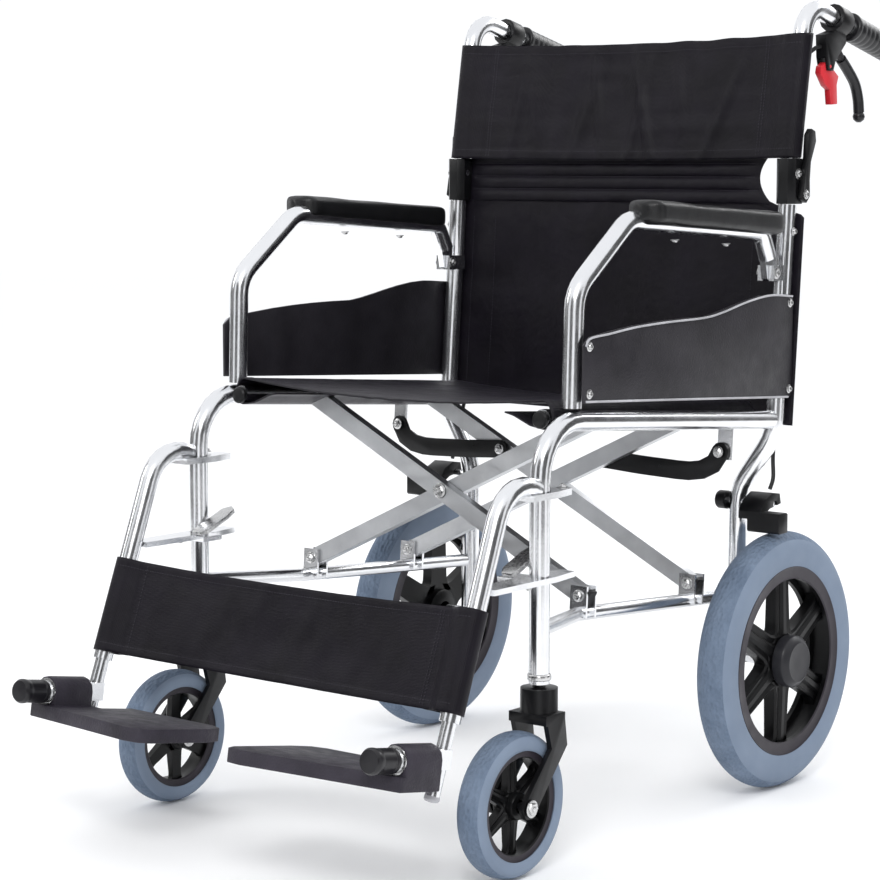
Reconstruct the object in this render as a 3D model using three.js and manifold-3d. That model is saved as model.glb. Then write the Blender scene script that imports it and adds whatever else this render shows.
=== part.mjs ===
// Folding transport wheelchair, in millimetres.
// +X is the occupant's left, -Y is the way the chair faces, +Z is up, and the floor is z = 0.
// Every piece is a closed solid of its own; pieces that touch keep a small gap.
import * as THREE from "three";
import { mergeVertices } from "three/addons/utils/BufferGeometryUtils.js";
import Module from "manifold-3d";

const wasm = await Module();
wasm.setup();

// ---- Driving dimensions -------------------------------------------------
const GAP = 0.35; // clearance between pieces that touch
const FRAME_X = 247; // centre of the rear post, front post and upper rail
const LOWER_X = 203; // centre of the lower rail and of the rear post beside the wheel
const ARM_X = 242; // centre of the armrest tube
const HANGER_X = 250; // centre of the footrest hanger
const SEAT_RAIL_X = 218; // centre of the seat rail that the cross brace carries
const TUBE_R = 11; // main frame tube
const SEAT_RAIL_R = 9.5;
const LOWER_R = 8; // lower rail
const WALL = 2.2; // tube wall

const POST_Y = -452; // front post, which is also the caster's swivel axis
const POST_FOOT_Z = 197;
const RAIL_SLOPE = 0.0777; // rise of the seat rails towards the front, per mm
const RAIL_REAR_Z = 437; // height of the upper rail at y = 0
const BACK_SLOPE = 0.078; // lean of the rear post, in y per mm of height
const BACK_Y0 = 10.5; // y of the rear post at BACK_Z0
const BACK_Z0 = 424;

const REAR_R = 152.5; // rear wheel
const REAR_X = 260;
const REAR_HALF_W = 21;
const RIM_R = 112;
const CASTER_R = 77; // front wheel
const CASTER_Y = -500;
const CASTER_HALF_W = 16;
const CASTER_RIM_R = 58;

const HINGE_Y = 34; // pivot of the folding back
const HINGE_Z = 724;
const UPPER_LEAN = 0.16; // lean of the upper post, in y per mm of height
const HANDLE_TURN_Z = 924; // height where the post's line meets the handle's
const HANDLE_END = [268, 876]; // rear end of the handle tube, y and z

const BRACE_FOOT_Y = -300; // a point of the brace's lower pivot line, y and z
const BRACE_FOOT_Z = 265;
const BRACE_SLOPE = Math.atan(0.07); // rise of the pivot lines towards the front
const RAIL_BELOW_FOOT = 20; // lower rail's centre below the pivot line
const BRACE_ANGLE = THREE.MathUtils.degToRad(25.8);
const BRACE_HALF = LOWER_X / Math.cos(BRACE_ANGLE);
const BAR_DEEP = 20; // height of a brace bar's section
const BAR_THICK = 13;
const BAR_FRONT_A = -12; // places of the bars along the pivot line
const BAR_FRONT_B = 2;
const BAR_REAR_B = 184;
const BAR_REAR_A = 204;
const LINK_AT = 194;
const LINK_TOP = 87; // distance from the brace's centre pivot to the link's bolt
const LINK_FRAME_X = 240;
const LINK_FRAME_UP = 156; // the link's frame pivot above the brace's lower pivot
const LINK_BOLT_R = 3.2;

const HANGER_TOP = [-562, 294]; // a point on the hanger's sloping run, y and z
const HANGER_LOW = [-601, 194]; // a lower point on it, behind the calf strap
const HANGER_START = [POST_Y - TUBE_R - 6, 404]; // y and z of the hanger's rear end
const HANGER_END_Z = 183; // where the extension tube comes out
const EXTENSION_END_Z = 113;
const PLATE_TILT = THREE.MathUtils.degToRad(10); // front edge of a footplate up
const PLATE_PIVOT = [-659, 155]; // middle of the footplate's hinge barrel, y and z
const BARREL = 62; // length of the hinge barrel, front end to the socket's middle
const BARREL_REAR = 24; // where the barrel and deck stop, short of the extension tube
const KNOB_LENGTH = 36;
const DECK_TOP = -14; // top of the footplate's deck below the hinge axis
const DECK_THICK = 15;
const GRIP_REAR = 281;

const SIDES = [
  { name: "left", s: 1 },
  { name: "right", s: -1 },
];

// ---- Materials ----------------------------------------------------------
function material(color, roughness, metalness) {
  return new THREE.MeshStandardMaterial({ color, roughness, metalness });
}

const polished = material(0xd6d9de, 0.18, 1);
const satin = material(0xb9b8ba, 0.45, 0.9);
const blackPlastic = material(0x141216, 0.45, 0);
const greyPlastic = material(0x46424f, 0.55, 0);
const tyreRubber = material(0x6f82a0, 0.7, 0);
const fabric = material(0x1b1822, 0.85, 0);
const padding = material(0x2a2730, 0.5, 0);
const panel = material(0x37343c, 0.6, 0);
const redPlastic = material(0xcf4552, 0.4, 0);
const blackRubber = material(0x1a1a1c, 0.8, 0);

// ---- Geometry helpers ---------------------------------------------------
const group = new THREE.Group();

function add(name, geometry, look) {
  const mesh = new THREE.Mesh(geometry, look);
  mesh.name = name;
  group.add(mesh);
  return mesh;
}

function v(x, y, z) {
  return new THREE.Vector3(x, y, z);
}

// A curve through given stations, each with a point and a tangent.
class StationCurve extends THREE.Curve {
  constructor(stations) {
    super();
    this.stations = stations;
  }

  getUtoTmapping(u) {
    return u;
  }

  pick(t, key) {
    const at = t * (this.stations.length - 1);
    const low = Math.min(Math.floor(at), this.stations.length - 2);
    const a = this.stations[low][key];
    const b = this.stations[low + 1][key];
    return a.clone().lerp(b, at - low);
  }

  getPoint(t) {
    return this.pick(t, "point");
  }

  getTangent(t) {
    return this.pick(t, "tangent").normalize();
  }
}

// Stations along straight runs joined by arcs of the given bend radii.
function bent(points, radii, stepDeg = 13) {
  const stations = [];
  const first = points[1].clone().sub(points[0]).normalize();
  stations.push({ point: points[0].clone(), tangent: first });
  for (let i = 1; i < points.length - 1; i++) {
    const into = points[i].clone().sub(points[i - 1]).normalize();
    const out = points[i + 1].clone().sub(points[i]).normalize();
    const turn = into.angleTo(out);
    const radius = Array.isArray(radii) ? radii[i - 1] : radii;
    const back = radius * Math.tan(turn / 2);
    const start = points[i].clone().addScaledVector(into, -back);
    const inward = out.clone().sub(into).normalize();
    const centre = points[i].clone().addScaledVector(inward, radius / Math.cos(turn / 2));
    const axis = into.clone().cross(out).normalize();
    const steps = Math.max(2, Math.round(THREE.MathUtils.radToDeg(turn) / stepDeg));
    for (let k = 0; k <= steps; k++) {
      const angle = (turn * k) / steps;
      const point = start.clone().sub(centre).applyAxisAngle(axis, angle).add(centre);
      stations.push({ point, tangent: into.clone().applyAxisAngle(axis, angle) });
    }
  }
  const last = points[points.length - 1];
  const end = last.clone().sub(points[points.length - 2]).normalize();
  stations.push({ point: last.clone(), tangent: end });
  return stations;
}

function disc(radius, sides, turn = 0) {
  const shape = new THREE.Shape();
  for (let i = 0; i <= sides; i++) {
    const a = turn + (2 * Math.PI * i) / sides;
    const at = [radius * Math.cos(a), radius * Math.sin(a)];
    if (i) shape.lineTo(...at);
    else shape.moveTo(...at);
  }
  return shape;
}

function tube(points, radii, radius, { wall = WALL, sides = 12, stepDeg = 13 } = {}) {
  const stations = bent(points, radii, stepDeg);
  const section = disc(radius, sides);
  if (wall) section.holes.push(disc(radius - wall, sides / 2));
  return new THREE.ExtrudeGeometry(section, {
    steps: stations.length - 1,
    extrudePath: new StationCurve(stations),
    bevelEnabled: false,
  });
}

// Moves a shape or hole drawn with straight lines.
function shifted(shape, dx, dy) {
  const moved = shape.getPoints().map((p) => p.clone().add(new THREE.Vector2(dx, dy)));
  return new THREE.Shape(moved);
}

function outline(points) {
  return new THREE.Shape(points.map(([a, b]) => new THREE.Vector2(a, b)));
}

const yzToWorld = new THREE.Matrix4().makeBasis(v(0, 1, 0), v(0, 0, 1), v(1, 0, 0));
const xzToWorld = new THREE.Matrix4().makeBasis(v(1, 0, 0), v(0, 0, 1), v(0, -1, 0));

// A shape drawn in (y, z), extruded along x between x0 and x1.
function alongX(shape, x0, x1, curveSegments = 8) {
  const low = Math.min(x0, x1);
  const options = { depth: Math.abs(x1 - x0), bevelEnabled: false, curveSegments };
  const geometry = new THREE.ExtrudeGeometry(shape, options);
  return geometry.applyMatrix4(yzToWorld).translate(low, 0, 0);
}

// A shape drawn in (x, z), extruded along y between y0 and y1.
function alongY(shape, y0, y1, curveSegments = 8) {
  const high = Math.max(y0, y1);
  const options = { depth: Math.abs(y1 - y0), bevelEnabled: false, curveSegments };
  const geometry = new THREE.ExtrudeGeometry(shape, options);
  return geometry.applyMatrix4(xzToWorld).translate(0, high, 0);
}

// A shape drawn in (x, y), extruded along z between z0 and z1.
function alongZ(shape, z0, z1, curveSegments = 8) {
  const options = { depth: z1 - z0, bevelEnabled: false, curveSegments };
  return new THREE.ExtrudeGeometry(shape, options).translate(0, 0, z0);
}

function box(x0, x1, y0, y1, z0, z1) {
  const geometry = new THREE.BoxGeometry(Math.abs(x1 - x0), Math.abs(y1 - y0), z1 - z0);
  return geometry.translate((x0 + x1) / 2, (y0 + y1) / 2, (z0 + z1) / 2);
}

function rod(from, to, radius, sides = 12) {
  const line = to.clone().sub(from);
  const geometry = new THREE.CylinderGeometry(radius, radius, line.length(), sides);
  const turn = new THREE.Quaternion().setFromUnitVectors(v(0, 1, 0), line.clone().normalize());
  geometry.applyQuaternion(turn);
  const middle = from.clone().add(to).multiplyScalar(0.5);
  return geometry.translate(middle.x, middle.y, middle.z);
}

// Turn a geometry about an axis through a point.
function turned(geometry, axis, angle, [x, y, z]) {
  geometry.translate(-x, -y, -z);
  geometry.applyQuaternion(new THREE.Quaternion().setFromAxisAngle(axis, angle));
  return geometry.translate(x, y, z);
}

function solid(geometry) {
  const bare = geometry.clone();
  bare.deleteAttribute("normal");
  bare.deleteAttribute("uv");
  const merged = mergeVertices(bare, 1e-3);
  return new wasm.Manifold(
    new wasm.Mesh({
      numProp: 3,
      vertProperties: new Float32Array(merged.attributes.position.array),
      triVerts: new Uint32Array(merged.index.array),
    }),
  );
}

function fromSolid(body) {
  const mesh = body.getMesh();
  const geometry = new THREE.BufferGeometry();
  const points = new Float32Array((mesh.vertProperties.length / mesh.numProp) * 3);
  for (let i = 0; i < points.length / 3; i++) {
    for (let k = 0; k < 3; k++) points[i * 3 + k] = mesh.vertProperties[i * mesh.numProp + k];
  }
  geometry.setAttribute("position", new THREE.BufferAttribute(points, 3));
  geometry.setIndex(Array.from(mesh.triVerts));
  return geometry;
}

function join(...parts) {
  return fromSolid(parts.map(solid).reduce((a, b) => a.add(b)));
}

function cut(from, ...tools) {
  return fromSolid(tools.map(solid).reduce((a, b) => a.subtract(b), solid(from)));
}

// ---- Lines of the side frame --------------------------------------------
function railZ(y) {
  return RAIL_REAR_Z - RAIL_SLOPE * y;
}

function backY(z) {
  return BACK_Y0 + BACK_SLOPE * (z - BACK_Z0);
}

function upperY(z) {
  return HINGE_Y + UPPER_LEAN * (z - HINGE_Z);
}

// ---- Side frames --------------------------------------------------------
function frontFrameTube(s) {
  const x = s * FRAME_X;
  const points = [
    v(x, -GAP, railZ(-GAP)),
    v(x, POST_Y, railZ(POST_Y)),
    v(x, POST_Y, POST_FOOT_Z),
  ];
  const low = LINK_FRAME_UP - 9;
  const tab = box(s * 234, s * 252, LINK_AT + 2 + GAP, LINK_AT + 6, low, low + 37.2);
  const bolt = [LINK_AT - 5, LINK_AT + 4].map((y) => v(s * LINK_FRAME_X, y, LINK_FRAME_UP));
  return join(tube(points, 58, TUBE_R), inBraceFrame(tab), inBraceFrame(rod(...bolt, LINK_BOLT_R, 8)));
}

const ARM_PIN = [0, 609]; // y and z of the bolt at the armrest's rear end

function rearPost(s) {
  const top = 688;
  const points = [
    v(s * FRAME_X, backY(top), top),
    v(s * FRAME_X, backY(418), 418),
    v(s * LOWER_X, 4, 352),
    v(s * LOWER_X, 0, 134),
  ];
  const post = tube(points, 62, TUBE_R);
  const axle = rod(v(s * (LOWER_X - 15), 0, REAR_R), v(s * 282, 0, REAR_R), 6, 12);
  const spacer = rod(v(s * LOWER_X, 0, REAR_R), v(s * (REAR_X - REAR_HALF_W - 1), 0, REAR_R), 9, 12);
  const [py, pz] = BRAKE_PIVOT;
  const stud = rod(v(s * (LOWER_X - 14), py, pz), v(s * 254, py, pz), 4, 8);
  const [ay, az] = ARM_PIN;
  const x = s * ARM_X;
  const inner = box(x - s * 11, x - s * (4 + GAP), ay - 6, ay + 25, az - 9, az + 9);
  const outer = box(x + s * (4 + GAP), x + s * 11, ay - 6, ay + 25, az - 9, az + 9);
  const bolt = rod(v(x - 12, ay, az), v(x + 12, ay, az), 3, 8);
  return join(post, spacer, axle, stud, inner, outer, bolt);
}

// Places a piece drawn in the cross brace's own frame: its origin is the point of the lower
// pivot line at BRACE_FOOT_Y, and its y axis runs along that line.
function inBraceFrame(geometry) {
  const tilt = new THREE.Quaternion().setFromAxisAngle(v(1, 0, 0), -BRACE_SLOPE);
  return geometry.applyQuaternion(tilt).translate(0, BRACE_FOOT_Y, BRACE_FOOT_Z);
}

// A clevis on the lower rail, with the bolt that a brace bar turns on.
function clevis(s, at) {
  const tab = 3;
  const inner = BAR_THICK / 2 + GAP;
  const x = s * LOWER_X;
  const pieces = [
    box(x - 11, x + 11, at - inner - tab, at - inner, -RAIL_BELOW_FOOT - 4, 11),
    box(x - 11, x + 11, at + inner, at + inner + tab, -RAIL_BELOW_FOOT - 4, 11),
    rod(v(x, at - inner - tab - 3, 0), v(x, at + inner + tab + 3, 0), 4, 8),
  ];
  return pieces.map(inBraceFrame);
}

function lowerRailZ(y) {
  return BRACE_FOOT_Z - RAIL_BELOW_FOOT - (y - BRACE_FOOT_Y) * Math.tan(BRACE_SLOPE);
}

function lowerRail(s) {
  const bendY = BRACE_FOOT_Y - 24;
  const front = v(s * FRAME_X, POST_Y, lowerRailZ(bendY) + 7);
  const bend = v(s * LOWER_X, bendY, lowerRailZ(bendY));
  const back = v(s * LOWER_X, -TUBE_R - GAP, lowerRailZ(-TUBE_R));
  const inward = bend.clone().sub(front).normalize();
  const start = front.clone().addScaledVector(inward, TUBE_R + GAP + 0.2);
  const rail = tube([start, bend, back], 30, LOWER_R);
  // the left rail takes the feet of the A bars, the right rail those of the B bars
  const feet = s > 0 ? [BAR_FRONT_A, BAR_REAR_A] : [BAR_FRONT_B, BAR_REAR_B];
  return join(rail, ...feet.flatMap((at) => clevis(s, at)));
}

function armTube(s) {
  const x = s * ARM_X;
  const points = [
    v(x, -390, railZ(-390) + TUBE_R + 2.2),
    v(x, -386, 603),
    v(x, -289, 676),
    v(x, -19, 658),
    v(x, -3, 627),
  ];
  const run = tube(points, [40, 34, 20], TUBE_R);
  const [py, pz] = ARM_PIN;
  const plan = outline([
    [py - 9, pz - 6],
    [py - 5, pz - 9],
    [py + 5, pz - 9],
    [py + 8, pz - 5],
    [py + 7, pz + 22],
    [py + 2, pz + 29],
    [py - 15, pz + 21],
    [py - 13, pz + 13],
  ]);
  const tongue = alongX(plan, x - 4, x + 4);
  const bore = rod(v(x - 6, py, pz), v(x + 6, py, pz), 3 + GAP, 8);
  return cut(join(run, tongue), bore);
}

const PAD = { x: 251, front: -277, rear: -10, width: 46, height: 27, underside: 663 };

function armPad(s) {
  const slope = Math.atan(18 / 270);
  const half = PAD.width / 2;
  const groove = TUBE_R + GAP;
  const offset = s * (ARM_X - PAD.x);
  const round = 9;
  const shape = new THREE.Shape();
  shape.moveTo(-half, 4);
  shape.lineTo(-half, PAD.height - round);
  shape.quadraticCurveTo(-half, PAD.height, -half + round, PAD.height);
  shape.lineTo(half - round, PAD.height);
  shape.quadraticCurveTo(half, PAD.height, half, PAD.height - round);
  shape.lineTo(half, 4);
  shape.lineTo(half - 1.5, 0);
  shape.lineTo(offset + groove, 0);
  for (let i = 0; i <= 6; i++) {
    const a = (Math.PI * i) / 6;
    shape.lineTo(offset + groove * Math.cos(a), 3 + groove * 1.05 * Math.sin(a));
  }
  shape.lineTo(offset - groove, 0);
  shape.lineTo(-half + 1.5, 0);
  const length = (PAD.rear - PAD.front) / Math.cos(slope);
  const pad = alongY(shape, -length, 0, 4);
  pad.applyQuaternion(new THREE.Quaternion().setFromAxisAngle(v(1, 0, 0), -slope));
  return pad.translate(s * PAD.x, PAD.rear, PAD.underside - 9.2);
}

function skirtGuard(s) {
  const x = s * (FRAME_X + TUBE_R + GAP);
  const shape = outline([
    [-395, 487],
    [17, 462],
    [24, 466],
    [24, 583],
    [-25, 586],
  ]);
  shape.bezierCurveTo(-75, 586, -130, 570, -168, 567);
  shape.bezierCurveTo(-240, 568, -310, 566, -384, 556);
  shape.lineTo(-395, 548);
  return alongX(shape, x, x + s * 3, 6);
}

const RELEASE_PIVOT = [40, 700];
const HINGE_HALF = 13; // half-width of the hinge housing
const RELEASE_X = FRAME_X + HINGE_HALF + GAP; // inner face of the release lever

function backHinge(s) {
  const x = s * FRAME_X;
  const [front, rear] = [HINGE_Y - 13, HINGE_Y + 13];
  const plan = outline([
    [x - 6, front],
    [x + 6, front],
    [x + HINGE_HALF, front + 7],
    [x + HINGE_HALF, rear - 4],
    [x + 10, rear],
    [x - 10, rear],
    [x - HINGE_HALF, rear - 4],
    [x - HINGE_HALF, front + 7],
  ]);
  const slot = box(x - 8.4, x + 8.4, front + 3, rear + 20, 712, 750);
  const bore = rod(v(x - 30, HINGE_Y, HINGE_Z), v(x + 30, HINGE_Y, HINGE_Z), 4.5, 8);
  const stud = rod(v(x + s * 9, ...RELEASE_PIVOT), v(s * (RELEASE_X + 8), ...RELEASE_PIVOT), 3.5, 10);
  return cut(join(alongZ(plan, 689, 742), stud), slot, bore);
}

function upperPost(s) {
  const x = s * FRAME_X;
  const low = HINGE_Z + 33;
  const points = [
    v(x, upperY(low), low),
    v(x, upperY(HANDLE_TURN_Z), HANDLE_TURN_Z),
    v(x, ...HANDLE_END),
  ];
  const post = tube(points, 34, TUBE_R);
  const tongue = outline([[-9.5, 0], [9.5, 0], [9.5, 36], [-9.5, 36]]);
  const lean = Math.atan(UPPER_LEAN);
  const blade = alongX(tongue, x - 8, x + 8);
  blade.applyQuaternion(new THREE.Quaternion().setFromAxisAngle(v(1, 0, 0), -lean));
  blade.translate(0, HINGE_Y, HINGE_Z);
  const eye = rod(v(x - 8, HINGE_Y, HINGE_Z), v(x + 8, HINGE_Y, HINGE_Z), 9.5, 16);
  const pin = rod(v(x - HINGE_HALF, HINGE_Y, HINGE_Z), v(x + HINGE_HALF, HINGE_Y, HINGE_Z), 4, 8);
  return join(post, blade, eye, pin);
}

const HANDLE_SLOPE = Math.atan(
  (HANDLE_TURN_Z - HANDLE_END[1]) / (HANDLE_END[0] - upperY(HANDLE_TURN_Z)),
);

// Height of the handle's axis at a given y.
function handleZ(y) {
  return HANDLE_END[1] + (HANDLE_END[0] - y) * Math.tan(HANDLE_SLOPE);
}

function grip(s) {
  const x = s * FRAME_X;
  const start = 166;
  const length = (GRIP_REAR - start) / Math.cos(HANDLE_SLOPE) - 3;
  const bore = TUBE_R + GAP;
  const depth = length - 6;
  const profile = [
    [bore, 0],
    [15.5, 0],
    [16.5, 3],
    [16.5, 12],
    [15, 16],
    [15, length - 6],
    [12, length],
    [0, length],
    [0, depth],
    [bore, depth],
    [bore, 0],
  ].map(([r, h]) => new THREE.Vector2(r, h));
  const geometry = new THREE.LatheGeometry(profile, 14);
  geometry.applyQuaternion(new THREE.Quaternion().setFromAxisAngle(v(1, 0, 0), -HANDLE_SLOPE));
  return geometry.translate(x, start, handleZ(start));
}

const LOCK_PIVOT = [115, 851];
const LOCK_HALF = 4;

// Clamp of the brake lever: a band on the handle and the housing below it.
function leverClamp(s) {
  const x = s * FRAME_X;
  const [front, rear] = [128, 152];
  const band = rod(v(x, front, handleZ(front)), v(x, rear, handleZ(rear)), 17, 14);
  const house = outline([[102, 888], [104, 862], [109, 846], [121, 846], [126, 858], [150, 880], [150, 900]]);
  const body = alongX(house, x - 7, x + 7);
  const bore = rod(v(x, front - 20, handleZ(front - 20)), v(x, rear + 20, handleZ(rear + 20)), 11.4, 14);
  const leverSlot = box(x - 5.4, x + 5.4, 126, 160, 850, 884);
  const lockSlot = box(x - LOCK_HALF - GAP, x + LOCK_HALF + GAP, 95, 126, 840, 861);
  const lockBore = rod(v(x - 10, ...LOCK_PIVOT), v(x + 10, ...LOCK_PIVOT), 2.8, 8);
  return cut(join(band, body), bore, leverSlot, lockSlot, lockBore);
}

const LEVER_PIVOT = [137, 872];

function brakeLever(s) {
  const x = s * FRAME_X;
  const [py, pz] = LEVER_PIVOT;
  const path = [
    v(x, py + 3, pz - 2),
    v(x, 163, 850),
    v(x, 190, 826),
    v(x, 196, 795),
  ];
  const arm = tube(path, [30, 30], 5.2, { wall: 0, sides: 8 });
  const knob = new THREE.SphereGeometry(7.5, 10, 6).translate(x, 196, 793);
  const eye = rod(v(x - 3.9, py, pz), v(x + 3.9, py, pz), 6, 10);
  return join(arm, knob, eye);
}

function lockLever(s) {
  const x = s * FRAME_X;
  const shape = outline([
    [108, 856],
    [98, 851],
    [96, 843],
    [110, 828],
    [119, 824],
    [122, 806],
    [137, 807],
    [135, 830],
    [139, 840],
    [126, 848],
    [122, 856],
  ]);
  const pin = rod(v(x - 7, ...LOCK_PIVOT), v(x + 7, ...LOCK_PIVOT), 2.4, 8);
  return join(alongX(shape, x - LOCK_HALF, x + LOCK_HALF), pin);
}

// The trigger that unlocks the folding back, on the outer face of the hinge housing.
function releaseLever(s) {
  const shape = outline([
    [31, 695],
    [42, 690],
    [50, 698],
    [49, 716],
    [51, 738],
    [62, 762],
    [60, 774],
    [51, 777],
    [44, 770],
    [42, 742],
    [35, 716],
  ]);
  shape.holes.push(shifted(disc(4, 10), ...RELEASE_PIVOT));
  return alongX(shape, s * RELEASE_X, s * (RELEASE_X + 6.5));
}

const BRAKE_PIVOT = [0, 337];

// The brake: an arm turning on the post's stud, with a shoe across the tyre.
function brakeShoe(s) {
  const [py, pz] = BRAKE_PIVOT;
  const arm = outline([[-12, pz - 4], [-33, 322], [-33, 331], [-22, 344], [-6, 351], [10, 349], [13, 337]]);
  const lever = alongX(arm, s * 226, s * 256);
  const shoe = outline([[-33, 309], [-31, 307], [-13, 307.6], [-13, 329], [-16, 331], [-33, 331]]);
  const block = alongX(shoe, s * 238, s * 281);
  const bore = rod(v(s * 210, py, pz), v(s * 262, py, pz), 4.5, 8);
  return cut(join(lever, block), bore);
}

// ---- Cross brace --------------------------------------------------------
// A bar of the brace, from its lower pivot on one rail towards the seat rail opposite.
// The A bars carry the centre bolt, and the B bars are bored for it.
function braceBar(s, at, bolt) {
  const [low, high] = [-9, 2 * BRACE_HALF - 6];
  const half = BAR_DEEP / 2;
  const corner = 5;
  const shape = outline([
    [low + corner, -half],
    [high, -half],
    [high, half],
    [low + corner, half],
    [low, half - corner],
    [low, corner - half],
  ]);
  shape.holes.push(disc(4.4, 8));
  if (!bolt) shape.holes.push(shifted(disc(5.5, 8), BRACE_HALF, 0));
  let bar = alongY(shape, -BAR_THICK / 2, BAR_THICK / 2);
  if (bolt) bar = join(bar, rod(v(BRACE_HALF, bolt[0], 0), v(BRACE_HALF, bolt[1], 0), 5, 8));
  if (s < 0) bar.applyMatrix4(new THREE.Matrix4().makeRotationZ(Math.PI));
  bar.applyMatrix4(new THREE.Matrix4().makeRotationY(-s * BRACE_ANGLE));
  return inBraceFrame(bar.translate(-s * LOWER_X, at, 0));
}

function seatRail(s) {
  const x = s * SEAT_RAIL_X;
  const z = (y) => railZ(y) + 1.5;
  const rail = rod(v(x, -410, z(-410)), v(x, 2, z(2)), SEAT_RAIL_R, 12);
  const bore = rod(v(x, -420, z(-420)), v(x, 12, z(12)), SEAT_RAIL_R - WALL, 6);
  return cut(rail, bore);
}

// A curved link from the side frame to a bar of the rear X.
function braceLink(s) {
  const reach = BRACE_HALF + LINK_TOP;
  const bolt = [LINK_TOP * Math.cos(BRACE_ANGLE), reach * Math.sin(BRACE_ANGLE)];
  const path = new THREE.CatmullRomCurve3([
    v(LINK_FRAME_X, 0, LINK_FRAME_UP),
    v(LINK_FRAME_X - 5, 0, LINK_FRAME_UP - 11),
    v(LINK_FRAME_X - 26, 0, LINK_FRAME_UP - 23),
    v(150, 0, LINK_FRAME_UP - 24),
    v(bolt[0], 0, bolt[1]),
  ]);
  const steps = 10;
  const half = 11;
  const [upper, lower] = [[], []];
  for (let i = 0; i <= steps; i++) {
    const p = path.getPointAt(i / steps);
    const t = path.getTangentAt(i / steps);
    upper.push([s * (p.x - t.z * half), p.z + t.x * half]);
    lower.unshift([s * (p.x + t.z * half), p.z - t.x * half]);
  }
  const eyes = [[LINK_FRAME_X, LINK_FRAME_UP], bolt];
  const [front, rear] = [LINK_AT - 2, LINK_AT + 2];
  const ends = eyes.map(([x, z]) => rod(v(s * x, front, z), v(s * x, rear, z), half, 12));
  const [holeX, holeZ] = [s * LINK_FRAME_X, LINK_FRAME_UP];
  const hole = rod(v(holeX, front - 1, holeZ), v(holeX, rear + 1, holeZ), LINK_BOLT_R + GAP, 8);
  return inBraceFrame(cut(join(alongY(outline([...upper, ...lower]), front, rear), ...ends), hole));
}

// ---- Footrests ----------------------------------------------------------
const hangerRun = v(0, HANGER_LOW[0] - HANGER_TOP[0], HANGER_LOW[1] - HANGER_TOP[1]).normalize();
const hangerTilt = Math.atan2(-hangerRun.y, -hangerRun.z);

function onHanger(s, z) {
  const t = (z - HANGER_LOW[1]) / hangerRun.z;
  return v(s * HANGER_X, HANGER_LOW[0] + t * hangerRun.y, z);
}

const LATCH_Z = 310; // top of the hanger's lower plate

// A flat plate that wraps the front post and holds the hanger to it.
function postPlate(s, z, front, rear, thick) {
  const shape = outline([
    [s * (HANGER_X - 14), front],
    [s * (HANGER_X + 12), front],
    [s * (FRAME_X + 15), POST_Y + 10],
    [s * (FRAME_X + 9), rear],
    [s * (FRAME_X - 9), rear],
    [s * (FRAME_X - 16), POST_Y + 10],
  ]);
  shape.holes.push(shifted(disc(TUBE_R + GAP + 0.2, 16), s * FRAME_X, POST_Y));
  return alongZ(shape, z, z + thick);
}

function hangerTube(s) {
  const x = s * HANGER_X;
  const corner = onHanger(s, 426);
  const points = [v(x, ...HANGER_START), corner, onHanger(s, HANGER_END_Z)];
  const run = tube(points, 46, TUBE_R);
  const upper = postPlate(s, 392, -482, -408, 7);
  const lower = postPlate(s, LATCH_Z - 6, -548, -402, 6);
  const ear = box(s * (FRAME_X - 34), s * (FRAME_X - 14), -480, -450, LATCH_Z - 6, LATCH_Z);
  const pipe = rod(onHanger(s, 330), onHanger(s, HANGER_END_Z - 1), TUBE_R - WALL, 6);
  return cut(join(run, upper, lower, ear), pipe);
}

// The extension tube, with the socket, hinge bolt and hand knob that the footplate turns on.
function extensionTube(s) {
  const outer = rod(onHanger(s, 262), onHanger(s, EXTENSION_END_Z), 8, 10);
  const half = BARREL / 2;
  const socket = box(-9, 9, BARREL_REAR + GAP, half + 16, -9, 11);
  const bolt = rod(v(0, half + 2, 0), v(0, -half - 8, 0), 6, 10);
  const knob = rod(v(0, -half - GAP, 0), v(0, -half - KNOB_LENGTH, 0), 12, 14);
  const hinge = join(socket, bolt, knob);
  hinge.applyMatrix4(new THREE.Matrix4().makeRotationX(-PLATE_TILT));
  hinge.translate(s * HANGER_X, ...PLATE_PIVOT);
  return join(outer, hinge);
}

// The lever that unlocks the hanger, on the inner side of the post.
function hangerLatch(s) {
  const shape = outline([
    [s * 232, -478],
    [s * 218, -478],
    [s * 213, -468],
    [s * 213, -436],
    [s * 216, -420],
    [s * 225, -414],
    [s * 233, -422],
    [s * 234, -470],
  ]);
  const paddle = alongZ(shape, LATCH_Z + GAP, LATCH_Z + GAP + 5);
  return turned(paddle, v(1, 0, 0), LATCH_RISE, [0, -478, LATCH_Z + GAP]);
}

const LATCH_RISE = THREE.MathUtils.degToRad(22);

function footplate(s) {
  const half = BARREL / 2;
  const under = DECK_TOP - DECK_THICK;
  const shell = new THREE.Shape();
  shell.moveTo(s * -16, under);
  shell.lineTo(s * -16, 2);
  for (let i = 0; i <= 6; i++) {
    const a = Math.PI - (Math.PI * i) / 6;
    shell.lineTo(s * 16 * Math.cos(a), 2 + 15 * Math.sin(a));
  }
  shell.lineTo(s * 16, under);
  const rear = BARREL_REAR;
  const barrel = alongY(shell, -half, rear);
  const deck = outline([
    [s * 16, -half - 6],
    [s * 16, rear],
    [s * -32, rear],
    [s * -34, half + 38],
    [s * -168, half + 32],
    [s * -184, half + 24],
    [s * -191, half],
    [s * -193, -half - 24],
    [s * -186, -half - 38],
    [s * -166, -half - 42],
    [s * -90, -half - 26],
  ]);
  const plate = alongZ(deck, under, DECK_TOP);
  const taper = box(s * -60, s * -230, -150, 120, under - 20, under);
  turned(taper, v(0, 1, 0), s * -0.035, [s * -60, 0, under]);
  const bore = rod(v(0, half + 1, 0), v(0, -half - 1, 0), 6.5, 10);
  const body = cut(join(barrel, plate), taper, bore);
  body.applyMatrix4(new THREE.Matrix4().makeRotationX(-PLATE_TILT));
  return body.translate(s * HANGER_X, ...PLATE_PIVOT);
}

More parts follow.
